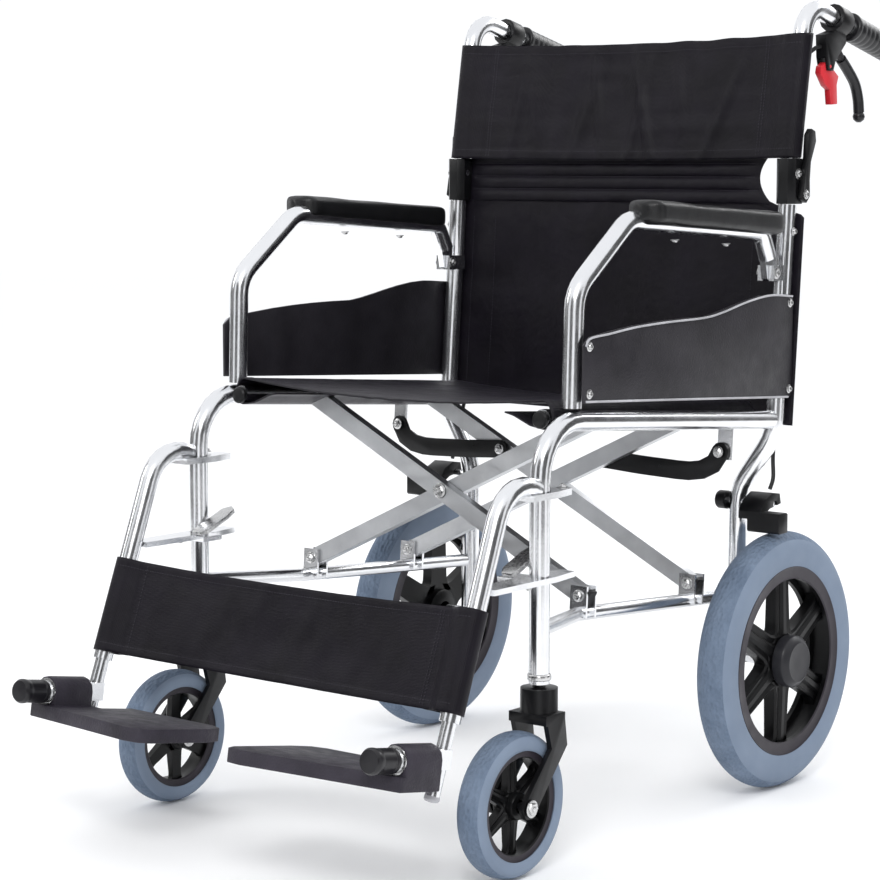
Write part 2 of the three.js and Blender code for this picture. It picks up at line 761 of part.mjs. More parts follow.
// ---- Wheels -------------------------------------------------------------
// A spoked rim turned about x, centred on (x, y, z).
function rim([x, y, z], { outer, inner, hub, half, hubHalf, bore, spokes, web, turn }) {
  const shape = disc(outer, 36);
  const window = (2 * Math.PI) / spokes;
  for (let i = 0; i < spokes; i++) {
    const middle = turn + window * (i + 0.5);
    const hole = new THREE.Path();
    const corner = (r, side) => {
      const a = middle + side * (window / 2 - Math.asin(Math.min(0.9, web / r)));
      return [r * Math.cos(a), r * Math.sin(a)];
    };
    hole.moveTo(...corner(hub + 2, -1));
    hole.lineTo(...corner(inner, -1));
    for (const side of [-0.6, 0, 0.6]) hole.lineTo(...corner(inner, side));
    hole.lineTo(...corner(inner, 1));
    hole.lineTo(...corner(hub + 2, 1));
    hole.closePath();
    shape.holes.push(hole);
  }
  const wheel = alongX(shape, -half, half);
  const boss = rod(v(-hubHalf, 0, 0), v(hubHalf, 0, 0), hub, 16);
  const through = rod(v(-hubHalf - 1, 0, 0), v(hubHalf + 1, 0, 0), bore, 12);
  return cut(join(wheel, boss), through).translate(x, y, z);
}

// A solid tyre: a closed ring round the rim.
function tyre([x, y, z], outer, inner, half, segments) {
  const crown = outer - inner;
  const profile = [
    [inner, -half * 0.72],
    [outer - crown * 0.55, -half],
    [outer - crown * 0.22, -half * 0.88],
    [outer, -half * 0.42],
    [outer, half * 0.42],
    [outer - crown * 0.22, half * 0.88],
    [outer - crown * 0.55, half],
    [inner, half * 0.72],
    [inner, -half * 0.72],
  ].map(([r, h]) => new THREE.Vector2(r, h));
  const geometry = new THREE.LatheGeometry(profile, segments);
  geometry.rotateZ(-Math.PI / 2);
  return geometry.translate(x, y, z);
}

function casterFork(s) {
  const x = s * FRAME_X;
  const inner = CASTER_HALF_W + 2.5;
  const leg = outline([
    [POST_Y - 20, 168],
    [POST_Y + 12, 168],
    [POST_Y + 17, 132],
    [CASTER_Y + 13, CASTER_R - 4],
    [CASTER_Y + 5, CASTER_R - 12],
    [CASTER_Y - 6, CASTER_R - 11],
    [CASTER_Y - 12, CASTER_R],
    [POST_Y - 10, 132],
  ]);
  const head = rod(v(x, POST_Y, 160), v(x, POST_Y, POST_FOOT_Z - 4), 20, 16);
  const crown = box(x - inner - 6, x + inner + 6, POST_Y - 20, POST_Y + 13, 157.5, 168);
  const stem = rod(v(x, POST_Y, 180), v(x, POST_Y, POST_FOOT_Z + 60), TUBE_R - WALL - 1.8, 8);
  const axle = rod(v(x - inner - 9, CASTER_Y, CASTER_R), v(x + inner + 9, CASTER_Y, CASTER_R), 5, 10);
  const legs = [-1, 1].map((e) => alongX(leg, x + e * inner, x + e * (inner + 6)));
  return join(head, crown, stem, axle, ...legs);
}

// ---- Soft parts ---------------------------------------------------------
function seatSling() {
  const half = SEAT_RAIL_X + 9;
  const bed = 165; // half-width of the sagging middle
  const thick = 9;
  const top = [[-half, thick - 4], [-half + 6, thick]];
  const under = [[-half, 0]];
  const steps = 8;
  for (let i = 0; i <= steps; i++) {
    const u = (2 * i) / steps - 1;
    const sag = 10 * Math.sqrt(Math.max(0, 1 - u * u));
    top.push([u * bed, thick - sag]);
    under.push([u * bed, -sag]);
  }
  top.push([half - 6, thick], [half, thick - 4]);
  under.push([half, 0]);
  const sling = alongY(outline([...under, ...top.reverse()]), -406, -6);
  const position = sling.attributes.position;
  for (let i = 0; i < position.count; i++) {
    const y = position.getY(i);
    position.setZ(i, position.getZ(i) + railZ(y) + SEAT_RAIL_R + 2);
  }
  return sling;
}

// Back upholstery between the rear posts, screwed to the back of the posts.
function backLower() {
  const lean = Math.atan(BACK_SLOPE);
  const half = FRAME_X + 17;
  const shape = outline([
    [-half, 430],
    [half, 430],
    [half, 684],
    [213, 690],
    [200, 706],
    [200, 718],
    [212, 738],
    [218, 743],
    [-218, 743],
    [-212, 738],
    [-200, 718],
    [-200, 706],
    [-213, 690],
    [-half, 684],
  ]);
  const sheet = alongY(shape, 0, 5);
  const offset = TUBE_R / Math.cos(lean) + GAP;
  const position = sheet.attributes.position;
  for (let i = 0; i < position.count; i++) {
    position.setY(i, position.getY(i) + backY(position.getZ(i)) + offset);
  }
  return sheet;
}

// A band with a sleeve at each end, drawn in (x, across) and extruded upwards.
function sleeved(x, bore, outer, bandLow, bandHigh) {
  const shape = new THREE.Shape();
  const low = Math.asin(bandLow / outer);
  const high = Math.asin(bandHigh / outer);
  const steps = 12;
  for (const e of [1, -1]) {
    for (let i = 0; i <= steps; i++) {
      const start = e > 0 ? low - Math.PI : high;
      const span = 2 * Math.PI - (high - low);
      const a = start + (span * i) / steps;
      const at = [e * x + outer * Math.cos(a), outer * Math.sin(a)];
      if (e > 0 && i === 0) shape.moveTo(...at);
      else shape.lineTo(...at);
    }
  }
  for (const e of [1, -1]) shape.holes.push(shifted(disc(bore, 12, Math.PI / 12), e * x, 0));
  return shape;
}

function backUpper() {
  const [low, high] = [762, 886];
  const shape = sleeved(FRAME_X, TUBE_R + 0.9, TUBE_R + 2.2, -4, 2);
  const flap = alongZ(shape, low, high);
  const position = flap.attributes.position;
  for (let i = 0; i < position.count; i++) {
    position.setY(i, position.getY(i) + upperY(position.getZ(i)));
  }
  return flap;
}

function calfStrap() {
  const length = 107;
  const shape = sleeved(HANGER_X, TUBE_R + 0.6, TUBE_R + 3, -3, 2);
  const band = alongZ(shape, 0, length);
  band.applyQuaternion(new THREE.Quaternion().setFromAxisAngle(v(1, 0, 0), -hangerTilt));
  const foot = onHanger(1, 192);
  return band.translate(0, foot.y, foot.z);
}

// The brake cable, from the lever's housing down behind the post to the brake.
function brakeCable(s) {
  const points = [
    [247, 101.5, 874],
    [244, 92, 871],
    [236, 80, 856],
    [228, 71, 815],
    [226, 68, 765],
    [226, 61, 724],
    [226, 54, 690],
    [230, 48.5, 640],
    [232, 41.5, 545],
    [232, 33, 455],
    [236, 28, 418],
    [238, 23, 388],
    [242, 17.5, 366],
    [241, 12, 352.5],
  ];
  const route = new THREE.CatmullRomCurve3(points.map(([x, y, z]) => v(s * x, y, z)));
  const steps = 24;
  const stations = [];
  for (let i = 0; i <= steps; i++) {
    stations.push({ point: route.getPointAt(i / steps), tangent: route.getTangentAt(i / steps) });
  }
  return new THREE.ExtrudeGeometry(disc(2.5, 8), {
    steps,
    extrudePath: new StationCurve(stations),
    bevelEnabled: false,
  });
}

// ---- Assembly -----------------------------------------------------------
for (const { name, s } of SIDES) {
  add(`front_frame_tube_${name}`, frontFrameTube(s), polished);
  add(`rear_post_${name}`, rearPost(s), polished);
  add(`lower_rail_${name}`, lowerRail(s), polished);
  add(`arm_tube_${name}`, armTube(s), polished);
  add(`arm_pad_${name}`, armPad(s), padding);
  add(`skirt_guard_${name}`, skirtGuard(s), panel);
  add(`back_hinge_${name}`, backHinge(s), blackPlastic);
  add(`upper_post_${name}`, upperPost(s), polished);
  add(`push_grip_${name}`, grip(s), blackRubber);
  add(`lever_clamp_${name}`, leverClamp(s), blackPlastic);
  add(`brake_lever_${name}`, brakeLever(s), satin);
  add(`lock_lever_${name}`, lockLever(s), redPlastic);
  add(`release_lever_${name}`, releaseLever(s), blackPlastic);
  add(`brake_shoe_${name}`, brakeShoe(s), blackPlastic);
  add(`brace_link_${name}`, braceLink(s), blackPlastic);
  add(`seat_rail_${name}`, seatRail(s), polished);
  add(`hanger_tube_${name}`, hangerTube(s), polished);
  add(`extension_tube_${name}`, extensionTube(s), polished);
  add(`hanger_latch_${name}`, hangerLatch(s), greyPlastic);
  add(`footplate_${name}`, footplate(s), greyPlastic);
  add(`caster_fork_${name}`, casterFork(s), blackPlastic);
  const casterHub = { outer: CASTER_RIM_R, inner: 46, hub: 15, half: 12, hubHalf: 17, bore: 5.4 };
  const casterSpokes = { spokes: 6, web: 5, turn: Math.PI / 2 };
  const casterAt = [s * FRAME_X, CASTER_Y, CASTER_R];
  add(`caster_rim_${name}`, rim(casterAt, { ...casterHub, ...casterSpokes }), blackPlastic);
  add(`caster_tyre_${name}`, tyre(casterAt, CASTER_R, CASTER_RIM_R + 0.6, CASTER_HALF_W, 28), tyreRubber);
  const rearHub = { outer: RIM_R, inner: 92, hub: 22, half: 15, hubHalf: 19, bore: 6.4 };
  const rearSpokes = { spokes: 6, web: 12, turn: Math.PI / 2 };
  const rearAt = [s * REAR_X, 0, REAR_R];
  add(`rear_rim_${name}`, rim(rearAt, { ...rearHub, ...rearSpokes }), blackPlastic);
  add(`rear_tyre_${name}`, tyre(rearAt, REAR_R, RIM_R + 0.6, REAR_HALF_W, 40), tyreRubber);
  add(`brake_cable_${name}`, brakeCable(s), blackRubber);
}

// A bars rise from the left rail to the right seat rail, B bars the other way.
add("brace_bar_front_a", braceBar(-1, BAR_FRONT_A, [-24, 9]), satin);
add("brace_bar_front_b", braceBar(1, BAR_FRONT_B, null), satin);
add("brace_bar_rear_a", braceBar(-1, BAR_REAR_A, [-9, 29]), satin);
add("brace_bar_rear_b", braceBar(1, BAR_REAR_B, null), satin);
add("seat_sling", seatSling(), fabric);
add("back_lower", backLower(), fabric);
add("back_upper", backUpper(), fabric);
add("calf_strap", calfStrap(), fabric);

// The origin is on the floor, under the middle of the chair's box.
const extent = new THREE.Box3().setFromObject(group);
group.position.y = -(extent.min.y + extent.max.y) / 2;

export default group;
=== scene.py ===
"""Transport wheelchair: looks, soft parts, wheels, fittings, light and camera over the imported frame."""
import math

import bmesh
import bpy
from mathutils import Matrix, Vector, noise


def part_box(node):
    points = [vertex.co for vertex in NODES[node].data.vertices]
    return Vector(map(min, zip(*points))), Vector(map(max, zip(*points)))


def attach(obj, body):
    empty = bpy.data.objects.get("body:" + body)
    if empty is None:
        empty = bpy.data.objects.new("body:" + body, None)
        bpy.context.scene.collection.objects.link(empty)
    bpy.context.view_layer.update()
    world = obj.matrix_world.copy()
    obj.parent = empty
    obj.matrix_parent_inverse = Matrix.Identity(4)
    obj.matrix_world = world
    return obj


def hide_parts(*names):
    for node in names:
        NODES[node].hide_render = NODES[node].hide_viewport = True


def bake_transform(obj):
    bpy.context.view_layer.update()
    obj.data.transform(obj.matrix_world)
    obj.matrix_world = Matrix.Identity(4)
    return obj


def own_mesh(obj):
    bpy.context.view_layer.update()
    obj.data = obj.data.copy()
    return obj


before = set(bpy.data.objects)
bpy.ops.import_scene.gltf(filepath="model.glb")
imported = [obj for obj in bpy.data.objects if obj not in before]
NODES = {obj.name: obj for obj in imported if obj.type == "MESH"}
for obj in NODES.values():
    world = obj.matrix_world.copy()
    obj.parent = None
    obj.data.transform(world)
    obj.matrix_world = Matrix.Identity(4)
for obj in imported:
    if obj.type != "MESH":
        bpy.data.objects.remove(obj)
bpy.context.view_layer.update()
SIDES = {"left": 1, "right": -1}

_lo, _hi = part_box("rear_tyre_left")
Y0 = (_lo.y + _hi.y) / 2  # the rear axle's y in the row frame

# Sizes in mm, measured from the rear axle's line on the floor
FRAME_X, LOWER_X, ARM_X, HANGER_X, SEAT_RAIL_X = 247, 203, 242, 250, 218
TUBE_R, CABLE_R = 11, 2.5
REAR_X, REAR_R, REAR_INNER = 260, 152.5, 111
CASTER_Y, CASTER_R, CASTER_INNER = -500, 77, 57.5
POST_Y = -452
HINGE_Y, HINGE_Z = 34, 724
UPPER_LEAN = 0.16
BACK_SLOPE = 0.078
RAIL_SLOPE = 0.0777
HANGER_SLOPE = 0.39
BRACE_SLOPE = 0.07
BRACE_ANGLE = math.radians(25.8)
BRACE_HALF = 225.47  # from a foot of the brace to its centre
BRACE_FOOT = (-300, 265)


def P(x, y, z):
    """A point given in mm from the rear axle's line on the floor, in the row frame in metres."""
    return Vector((x / 1000, y / 1000 + Y0, z / 1000))


def rail_z(y):
    """Height of the seat rail's axis at y."""
    return 437 - RAIL_SLOPE * y


def back_y(z):
    """y of the rear post's axis at height z."""
    return 10.5 + BACK_SLOPE * (z - 424)


def upper_y(z):
    """y of the upper post's axis at height z."""
    return HINGE_Y + UPPER_LEAN * (z - HINGE_Z)


def on_hanger(z):
    """y of the hanger's axis at height z."""
    return -601 + (z - 194) * HANGER_SLOPE


# ---- Materials ----
def linear(r, g, b):
    def one(c):
        c /= 255
        return c / 12.92 if c <= 0.04045 else ((c + 0.055) / 1.055) ** 2.4
    return (one(r), one(g), one(b), 1)


class Mat:
    """A node material: a Principled shader with helpers for colour, roughness and bump."""

    def __init__(self, name, color, rough, metal=0.0, **sockets):
        self.m = bpy.data.materials.new(name)
        self.m.use_nodes = True
        self.t = self.m.node_tree
        self.b = self.t.nodes["Principled BSDF"]
        self.b.inputs["Base Color"].default_value = color
        self.b.inputs["Roughness"].default_value = rough
        self.b.inputs["Metallic"].default_value = metal
        for key, value in sockets.items():
            self.b.inputs[key.replace("_", " ")].default_value = value
        self.m.diffuse_color = color
        self.co = self.t.nodes.new("ShaderNodeTexCoord").outputs["Object"]
        self.bump_chain = None

    def node(self, kind, **values):
        n = self.t.nodes.new(kind)
        for key, value in values.items():
            if hasattr(n, key):
                setattr(n, key, value)
            else:
                n.inputs[key.replace("_", " ")].default_value = value
        return n

    def link(self, a, b):
        self.t.links.new(a, b)

    def mapped(self, scale):
        n = self.node("ShaderNodeMapping")
        n.inputs["Scale"].default_value = scale
        self.link(self.co, n.inputs["Vector"])
        return n.outputs["Vector"]

    def noise(self, scale, detail=3.0, stretch=(1, 1, 1)):
        n = self.node("ShaderNodeTexNoise", Scale=scale, Detail=detail)
        self.link(self.mapped(stretch), n.inputs["Vector"])
        return n.outputs["Fac"]

    def voronoi(self, scale, feature="F1", stretch=(1, 1, 1)):
        n = self.node("ShaderNodeTexVoronoi", feature=feature, Scale=scale)
        self.link(self.mapped(stretch), n.inputs["Vector"])
        return n.outputs["Distance"]

    def wave(self, scale, direction):
        n = self.node("ShaderNodeTexWave", bands_direction=direction, Scale=scale)
        self.link(self.co, n.inputs["Vector"])
        return n.outputs["Fac"]

    def span(self, value, low, high, from_low=0.0, from_high=1.0):
        n = self.node("ShaderNodeMapRange")
        n.inputs["From Min"].default_value = from_low
        n.inputs["From Max"].default_value = from_high
        n.inputs["To Min"].default_value = low
        n.inputs["To Max"].default_value = high
        self.link(value, n.inputs["Value"])
        return n.outputs["Result"]

    def math(self, operation, a, b):
        n = self.node("ShaderNodeMath", operation=operation)
        for i, x in enumerate((a, b)):
            if isinstance(x, (int, float)):
                n.inputs[i].default_value = x
            else:
                self.link(x, n.inputs[i])
        return n.outputs[0]

    def rough(self, value, low, high):
        self.link(self.span(value, low, high, 0.25, 0.75), self.b.inputs["Roughness"])
        return self

    def tint(self, value, color_a, color_b):
        n = self.node("ShaderNodeMix", data_type="RGBA")
        self.link(self.span(value, 0, 1, 0.3, 0.7), n.inputs["Factor"])
        n.inputs[6].default_value = color_a
        n.inputs[7].default_value = color_b
        self.link(n.outputs[2], self.b.inputs["Base Color"])
        return self

    def bump(self, height, distance, strength=1.0):
        n = self.node("ShaderNodeBump")
        n.inputs["Distance"].default_value = distance
        n.inputs["Strength"].default_value = strength
        self.link(height, n.inputs["Height"])
        if self.bump_chain:
            self.link(self.bump_chain, n.inputs["Normal"])
        self.bump_chain = n.outputs["Normal"]
        self.link(self.bump_chain, self.b.inputs["Normal"])
        return self


def polished():
    m = Mat("polished_aluminium", (0.84, 0.85, 0.865, 1), 0.2, 1.0)
    m.rough(m.noise(38, 5), 0.15, 0.27)
    m.tint(m.noise(9, 3), (0.78, 0.79, 0.81, 1), (0.87, 0.875, 0.89, 1))
    return m.bump(m.noise(420, 2), 0.00004).bump(m.noise(26, 2), 0.00016)


def satin():
    m = Mat("satin_bar", (0.66, 0.67, 0.69, 1), 0.36, 1.0)
    m.rough(m.noise(240, 4, (0.15, 4, 0.15)), 0.28, 0.44)
    m.tint(m.noise(30, 4), (0.6, 0.61, 0.63, 1), (0.72, 0.73, 0.745, 1))
    return m.bump(m.noise(500, 3, (0.2, 3, 0.2)), 0.00005)


def steel(name="zinc_screw", base=0.62):
    m = Mat(name, (base, base, base * 1.02, 1), 0.26, 1.0)
    m.rough(m.noise(300, 3), 0.2, 0.36)
    m.tint(m.noise(120, 3), (base * 0.9,) * 3 + (1,), (base * 1.08,) * 3 + (1,))
    return m.bump(m.noise(900, 2), 0.00003)


def plastic(name, color, rough, grain=900, depth=0.00006, lift=1.5, coat=0.0, spec=0.4):
    m = Mat(name, color, rough, 0.0, Coat_Weight=coat, Specular_IOR_Level=spec)
    light = tuple(min(1, c * lift + 0.004) for c in color[:3]) + (1,)
    m.tint(m.noise(22, 4), color, light)
    m.rough(m.noise(60, 4), rough * 0.82, rough * 1.2)
    return m.bump(m.noise(grain, 2), depth)


def rubber_side():
    m = Mat("tyre_sidewall", linear(116, 130, 149), 0.5, Specular_IOR_Level=0.35)
    m.tint(m.noise(14, 5), linear(111, 125, 144), linear(122, 136, 155))
    m.rough(m.noise(50, 4), 0.52, 0.74)
    return m.bump(m.noise(700, 3), 0.00008)


def rubber_tread():
    m = Mat("tyre_tread", linear(101, 116, 136), 0.72, Specular_IOR_Level=0.35)
    m.tint(m.noise(24, 6), linear(90, 105, 125), linear(113, 128, 148))
    m.rough(m.noise(60, 4), 0.68, 0.9)
    return m.bump(m.voronoi(170, stretch=(1.6, 1, 1)), 0.0022).bump(m.noise(700, 3), 0.0002)


WEAVE_PITCH, WEAVE_ROUGH = 1500, 0.46


def woven(name, color, light, sheen=0.02, spec=0.2):
    """Woven nylon: two crossing thread waves, a loose surface noise and a soft sheen."""
    m = Mat(name, color, WEAVE_ROUGH, Sheen_Weight=sheen, Sheen_Roughness=0.35, Specular_IOR_Level=spec)
    m.b.inputs["Sheen Tint"].default_value = (0.6, 0.55, 0.72, 1)
    m.tint(m.noise(17, 5), color, light)
    m.rough(m.noise(40, 4), WEAVE_ROUGH * 0.85, WEAVE_ROUGH * 1.15)
    across, up, deep = (m.wave(WEAVE_PITCH / 6.28, axis) for axis in "XZY")
    threads = m.math("MAXIMUM", m.math("MULTIPLY", across, up), m.math("MULTIPLY", across, deep))
    return m.bump(threads, 0.0002, 0.7).bump(m.noise(62, 4), 0.0011, 0.6)


def leathery(name, color):
    m = Mat(name, color, 0.36, 0.0, Specular_IOR_Level=0.4)
    m.tint(m.noise(30, 4), color, tuple(c * 1.6 + 0.003 for c in color[:3]) + (1,))
    m.rough(m.noise(70, 4), 0.3, 0.46)
    return m.bump(m.voronoi(850, "SMOOTH_F1"), 0.00022).bump(m.noise(34, 3), 0.0005)


def gritty(name, color, light):
    """Footplate plastic: a fine spark-eroded grain."""
    m = Mat(name, color, 0.55, Specular_IOR_Level=0.3)
    m.tint(m.noise(26, 5), color, light)
    m.rough(m.noise(80, 4), 0.46, 0.66)
    return m.bump(m.voronoi(420), 0.00035).bump(m.noise(1100, 2), 0.0001)


def floor_paint():
    m = Mat("studio_floor", (0.985, 0.985, 0.985, 1), 0.85, Specular_IOR_Level=0.2)
    m.tint(m.noise(0.7, 3), (0.98, 0.98, 0.982, 1), (0.99, 0.99, 0.99, 1))
    return m


M = {
    "polished": polished(),
    "satin": satin(),
    "steel": steel(),
    "lever": steel("bright_lever", 0.55),
    "black": plastic("moulded_black", linear(7, 7, 9), 0.36, lift=1.8, spec=0.3),
    "rim": plastic("wheel_black", linear(4, 4, 5), 0.34, lift=1.7, spec=0.22),
    "hub": plastic("hub_cap", linear(26, 26, 30), 0.38, lift=1.5, spec=0.35),
    "grip": plastic("grip_rubber", linear(14, 14, 17), 0.34, grain=500, depth=0.00012),
    "red": plastic("red_lever", linear(196, 38, 48), 0.34, lift=1.15, coat=0.2),
    "paint": plastic("black_paint", linear(6, 6, 8), 0.32, lift=1.5, spec=0.3),
    "guard": plastic("guard_sheet", linear(26, 24, 29), 0.42, grain=420, depth=0.0003, lift=1.6, spec=0.35),
    "guard_edge": plastic("guard_edge", linear(150, 150, 154), 0.3),
    "flange": plastic("wheel_flange", linear(38, 34, 41), 0.4, lift=1.4, spec=0.3),
    "cable": plastic("cable_jacket", linear(18, 18, 19), 0.4),
    "side": rubber_side(),
    "tread": rubber_tread(),
    "cloth": woven("nylon_weave", linear(9, 6, 13), linear(17, 13, 23)),
    # Painted highlight: the seat's cloth is the back's nylon with both colours painted lighter to stand for
    # the light on its upturned top; its higher sheen and specular are shader settings.
    "seat": woven("seat_weave_painted_lit", linear(14, 12, 18), linear(26, 23, 31), sheen=0.06, spec=0.3),
    "thread": plastic("sewing_thread", linear(30, 27, 36), 0.6),
    "pad": leathery("armrest_skin", linear(10, 10, 12)),
    "plate": gritty("footplate_grain", linear(36, 33, 41), linear(52, 48, 58)),
    "knob": plastic("knob_black", linear(16, 15, 19), 0.34),
    "floor": floor_paint(),
}


# ---- Mesh helpers ----
def put(name, data):
    """An object with this data, in the scene."""
    obj = bpy.data.objects.new(name, data)
    bpy.context.scene.collection.objects.link(obj)
    return obj


def finish_mesh(name, verts, faces, look, body, hides=(), slot=None, sharp=35, which=None):
    """A new piece from points in metres, smooth with sharp edges kept, riding on a body."""
    mesh = bpy.data.meshes.new(name)
    mesh.from_pydata([tuple(p) for p in verts], [], faces)
    mesh.validate()
    bm = bmesh.new()
    bm.from_mesh(mesh)
    bmesh.ops.remove_doubles(bm, verts=bm.verts, dist=1e-6)
    bmesh.ops.recalc_face_normals(bm, faces=bm.faces)
    bm.to_mesh(mesh)
    bm.free()
    obj = put(name, mesh)
    looks = look if isinstance(look, (list, tuple)) else [look]
    for item in looks:
        mesh.materials.append(M[item].m)
    if which:
        for poly in mesh.polygons:
            poly.material_index = which(poly.center)
    shade(obj, sharp)
    if body:
        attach(obj, body)
    if hides:
        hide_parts(*hides)
    return obj


def shade(obj, sharp=35):
    """Smooth shading that breaks at edges sharper than the angle."""
    for poly in obj.data.polygons:
        poly.use_smooth = True
    bm = bmesh.new()
    bm.from_mesh(obj.data)
    limit = math.radians(sharp)
    flags = [len(e.link_faces) == 2 and e.calc_face_angle(0) > limit for e in bm.edges]
    bm.free()
    obj.data.attributes.new("sharp_edge", "BOOLEAN", "EDGE").data.foreach_set("value", flags)


def thicken(obj, mm):
    """Thickness on both sides of a sheet's middle."""
    mod = obj.modifiers.new("thickness", "SOLIDIFY")
    mod.thickness = mm / 1000
    mod.offset = 0.0


def rounded(obj, mm):
    """Edges rounded by a bevel."""
    mod = obj.modifiers.new("rounded_edges", "BEVEL")
    mod.width = mm / 1000
    mod.segments = 2
    mod.limit_method = "ANGLE"
    mod.angle_limit = math.radians(32)


def basis(axis):
    """Two directions square to an axis."""
    axis = Vector(axis).normalized()
    other = Vector((0, 0, 1)) if abs(axis.z) < 0.9 else Vector((0, 1, 0))
    u = axis.cross(other).normalized()
    return axis, u, axis.cross(u)


def quads(rows, n, wrap=True):
    """Faces between rows of n points each, all round or open at the side."""
    return [(i * n + k, i * n + (k + 1) % n, (i + 1) * n + (k + 1) % n, (i + 1) * n + k)
            for i in range(rows - 1) for k in range(n if wrap else n - 1)]


def end_caps(rows, n):
    return [tuple(reversed(range(n))), tuple((rows - 1) * n + k for k in range(n))]


def lathe_points(profile, centre, axis, segments):
    """Points and faces of a profile of (radius mm, height mm) turned about an axis through centre."""
    axis, u, w = basis(axis)
    verts = []
    for r, h in profile:
        for k in range(segments):
            a = 2 * math.pi * k / segments
            verts.append(centre + axis * (h / 1000) + (u * math.cos(a) + w * math.sin(a)) * (r / 1000))
    faces = quads(len(profile), segments)
    if profile[0] != profile[-1]:
        faces += end_caps(len(profile), segments)
    return verts, faces


def merge(parts):
    verts, faces = [], []
    for v, f in parts:
        base = len(verts)
        verts += v
        faces += [tuple(i + base for i in face) for face in f]
    return verts, faces


def lathe(name, profile, centre, axis, look, body, segments=32, **more):
    return finish_mesh(name, *lathe_points(profile, centre, axis, segments), look, body, **more)


def tube_points(path, radius, segments=10):
    """A round tube of radius mm along a list of points in metres."""
    verts = []
    count = len(path)
    up = None
    for i, p in enumerate(path):
        a, b = path[max(0, i - 1)], path[min(count - 1, i + 1)]
        t = (b - a).normalized()
        if up is None:
            up = basis(t)[1]
        up = (up - t * up.dot(t)).normalized()
        w = t.cross(up)
        for k in range(segments):
            ang = 2 * math.pi * k / segments
            verts.append(p + (up * math.cos(ang) + w * math.sin(ang)) * (radius / 1000))
    return verts, quads(count, segments) + end_caps(count, segments)


def smooth_path(points, steps):
    """Catmull-Rom points through a list of points."""
    pts = [Vector(p) for p in points]
    pts = [pts[0] * 2 - pts[1]] + pts + [pts[-1] * 2 - pts[-2]]
    out = []
    spans = len(pts) - 3
    for i in range(spans):
        a, b, c, d = pts[i:i + 4]
        for k in range(steps):
            t = k / steps
            out.append(0.5 * ((2 * b) + (c - a) * t + (2 * a - 5 * b + 4 * c - d) * t * t
                              + (3 * b - a - 3 * c + d) * t ** 3))
    out.append(pts[-2])
    return out


def grid(rows, cols, at, wrap=False):
    """Points at(u, v) on a grid, and its faces."""
    last = cols if wrap else cols - 1
    verts = [at(c / last, r / (rows - 1)) for r in range(rows) for c in range(cols)]
    return verts, quads(rows, cols, wrap)


def screw_points(centre, axis, radius, hexed=False):
    """A screw head on a washer; a round head is domed and has a socket."""
    height = 2.6
    washer = [(radius * 1.45, 0), (radius * 1.45, 0.7), (radius * 1.3, 1)]
    parts = [lathe_points(washer, centre, axis, 20)]
    base = 0.9
    if hexed:
        prof = [(radius * 1.05, base), (radius * 1.08, base + height * 0.8), (radius * 0.92, base + height)]
        parts.append(lathe_points(prof, centre, axis, 6))
        tip = [(radius * 0.5, base + height * 0.9), (radius * 0.5, base + height + 1.2),
               (radius * 0.3, base + height + 1.6)]
        parts.append(lathe_points(tip, centre, axis, 12))
    else:
        prof = [(radius, base), (radius * 0.97, base + height * 0.5), (radius * 0.75, base + height * 0.9),
                (radius * 0.5, base + height), (radius * 0.42, base + height),
                (radius * 0.38, base + height * 0.35), (0.01, base + height * 0.3)]
        parts.append(lathe_points(prof, centre, axis, 18))
    return merge(parts)


HEXED = True


def screws(name, items, body):
    """Several screw heads as one piece: items are (centre, axis, radius[, HEXED])."""
    parts = [screw_points(*item) for item in items]
    finish_mesh(name, *merge(parts), "steel", body, sharp=30)


STITCH_PITCH, STITCH_LENGTH, STITCH_RADIUS, STITCH_LIFT = 3.6, 2.5, 0.42, 0.95


def stitch_points(line, normals):
    """Short threads lying along a line of points; normals point off the cloth."""
    verts, faces = [], []
    run = [0.0]
    for a, b in zip(line, line[1:]):
        run.append(run[-1] + (b - a).length)
    total = run[-1]
    count = int(total / (STITCH_PITCH / 1000))
    seg = 0
    for i in range(count):
        mid = (i + 0.5) * total / count
        while seg < len(run) - 2 and run[seg + 1] < mid:
            seg += 1
        a, b = line[seg], line[seg + 1]
        t = (mid - run[seg]) / max(1e-9, run[seg + 1] - run[seg])
        p = a.lerp(b, t)
        d = (b - a).normalized()
        n = normals[seg].lerp(normals[seg + 1], t).normalized()
        w = d.cross(n).normalized()
        half, r = d * (STITCH_LENGTH / 2000), STITCH_RADIUS / 1000
        base = len(verts)
        for end, lift in ((-1, 0.15), (-0.6, 0.9), (0.6, 0.9), (1, 0.15)):
            for side in (-1, 1):
                width = 0.9 if abs(end) < 1 else 0.35
                verts.append(p + half * end + w * side * r * width + n * r * lift)
        faces += [(base + k, base + k + 1, base + k + 3, base + k + 2) for k in (0, 2, 4)]
    return verts, faces


def fold_noise(x, z, seed=0.0):
    """A smooth random height between about -1 and 1."""
    return noise.noise(Vector((x, z, seed)))


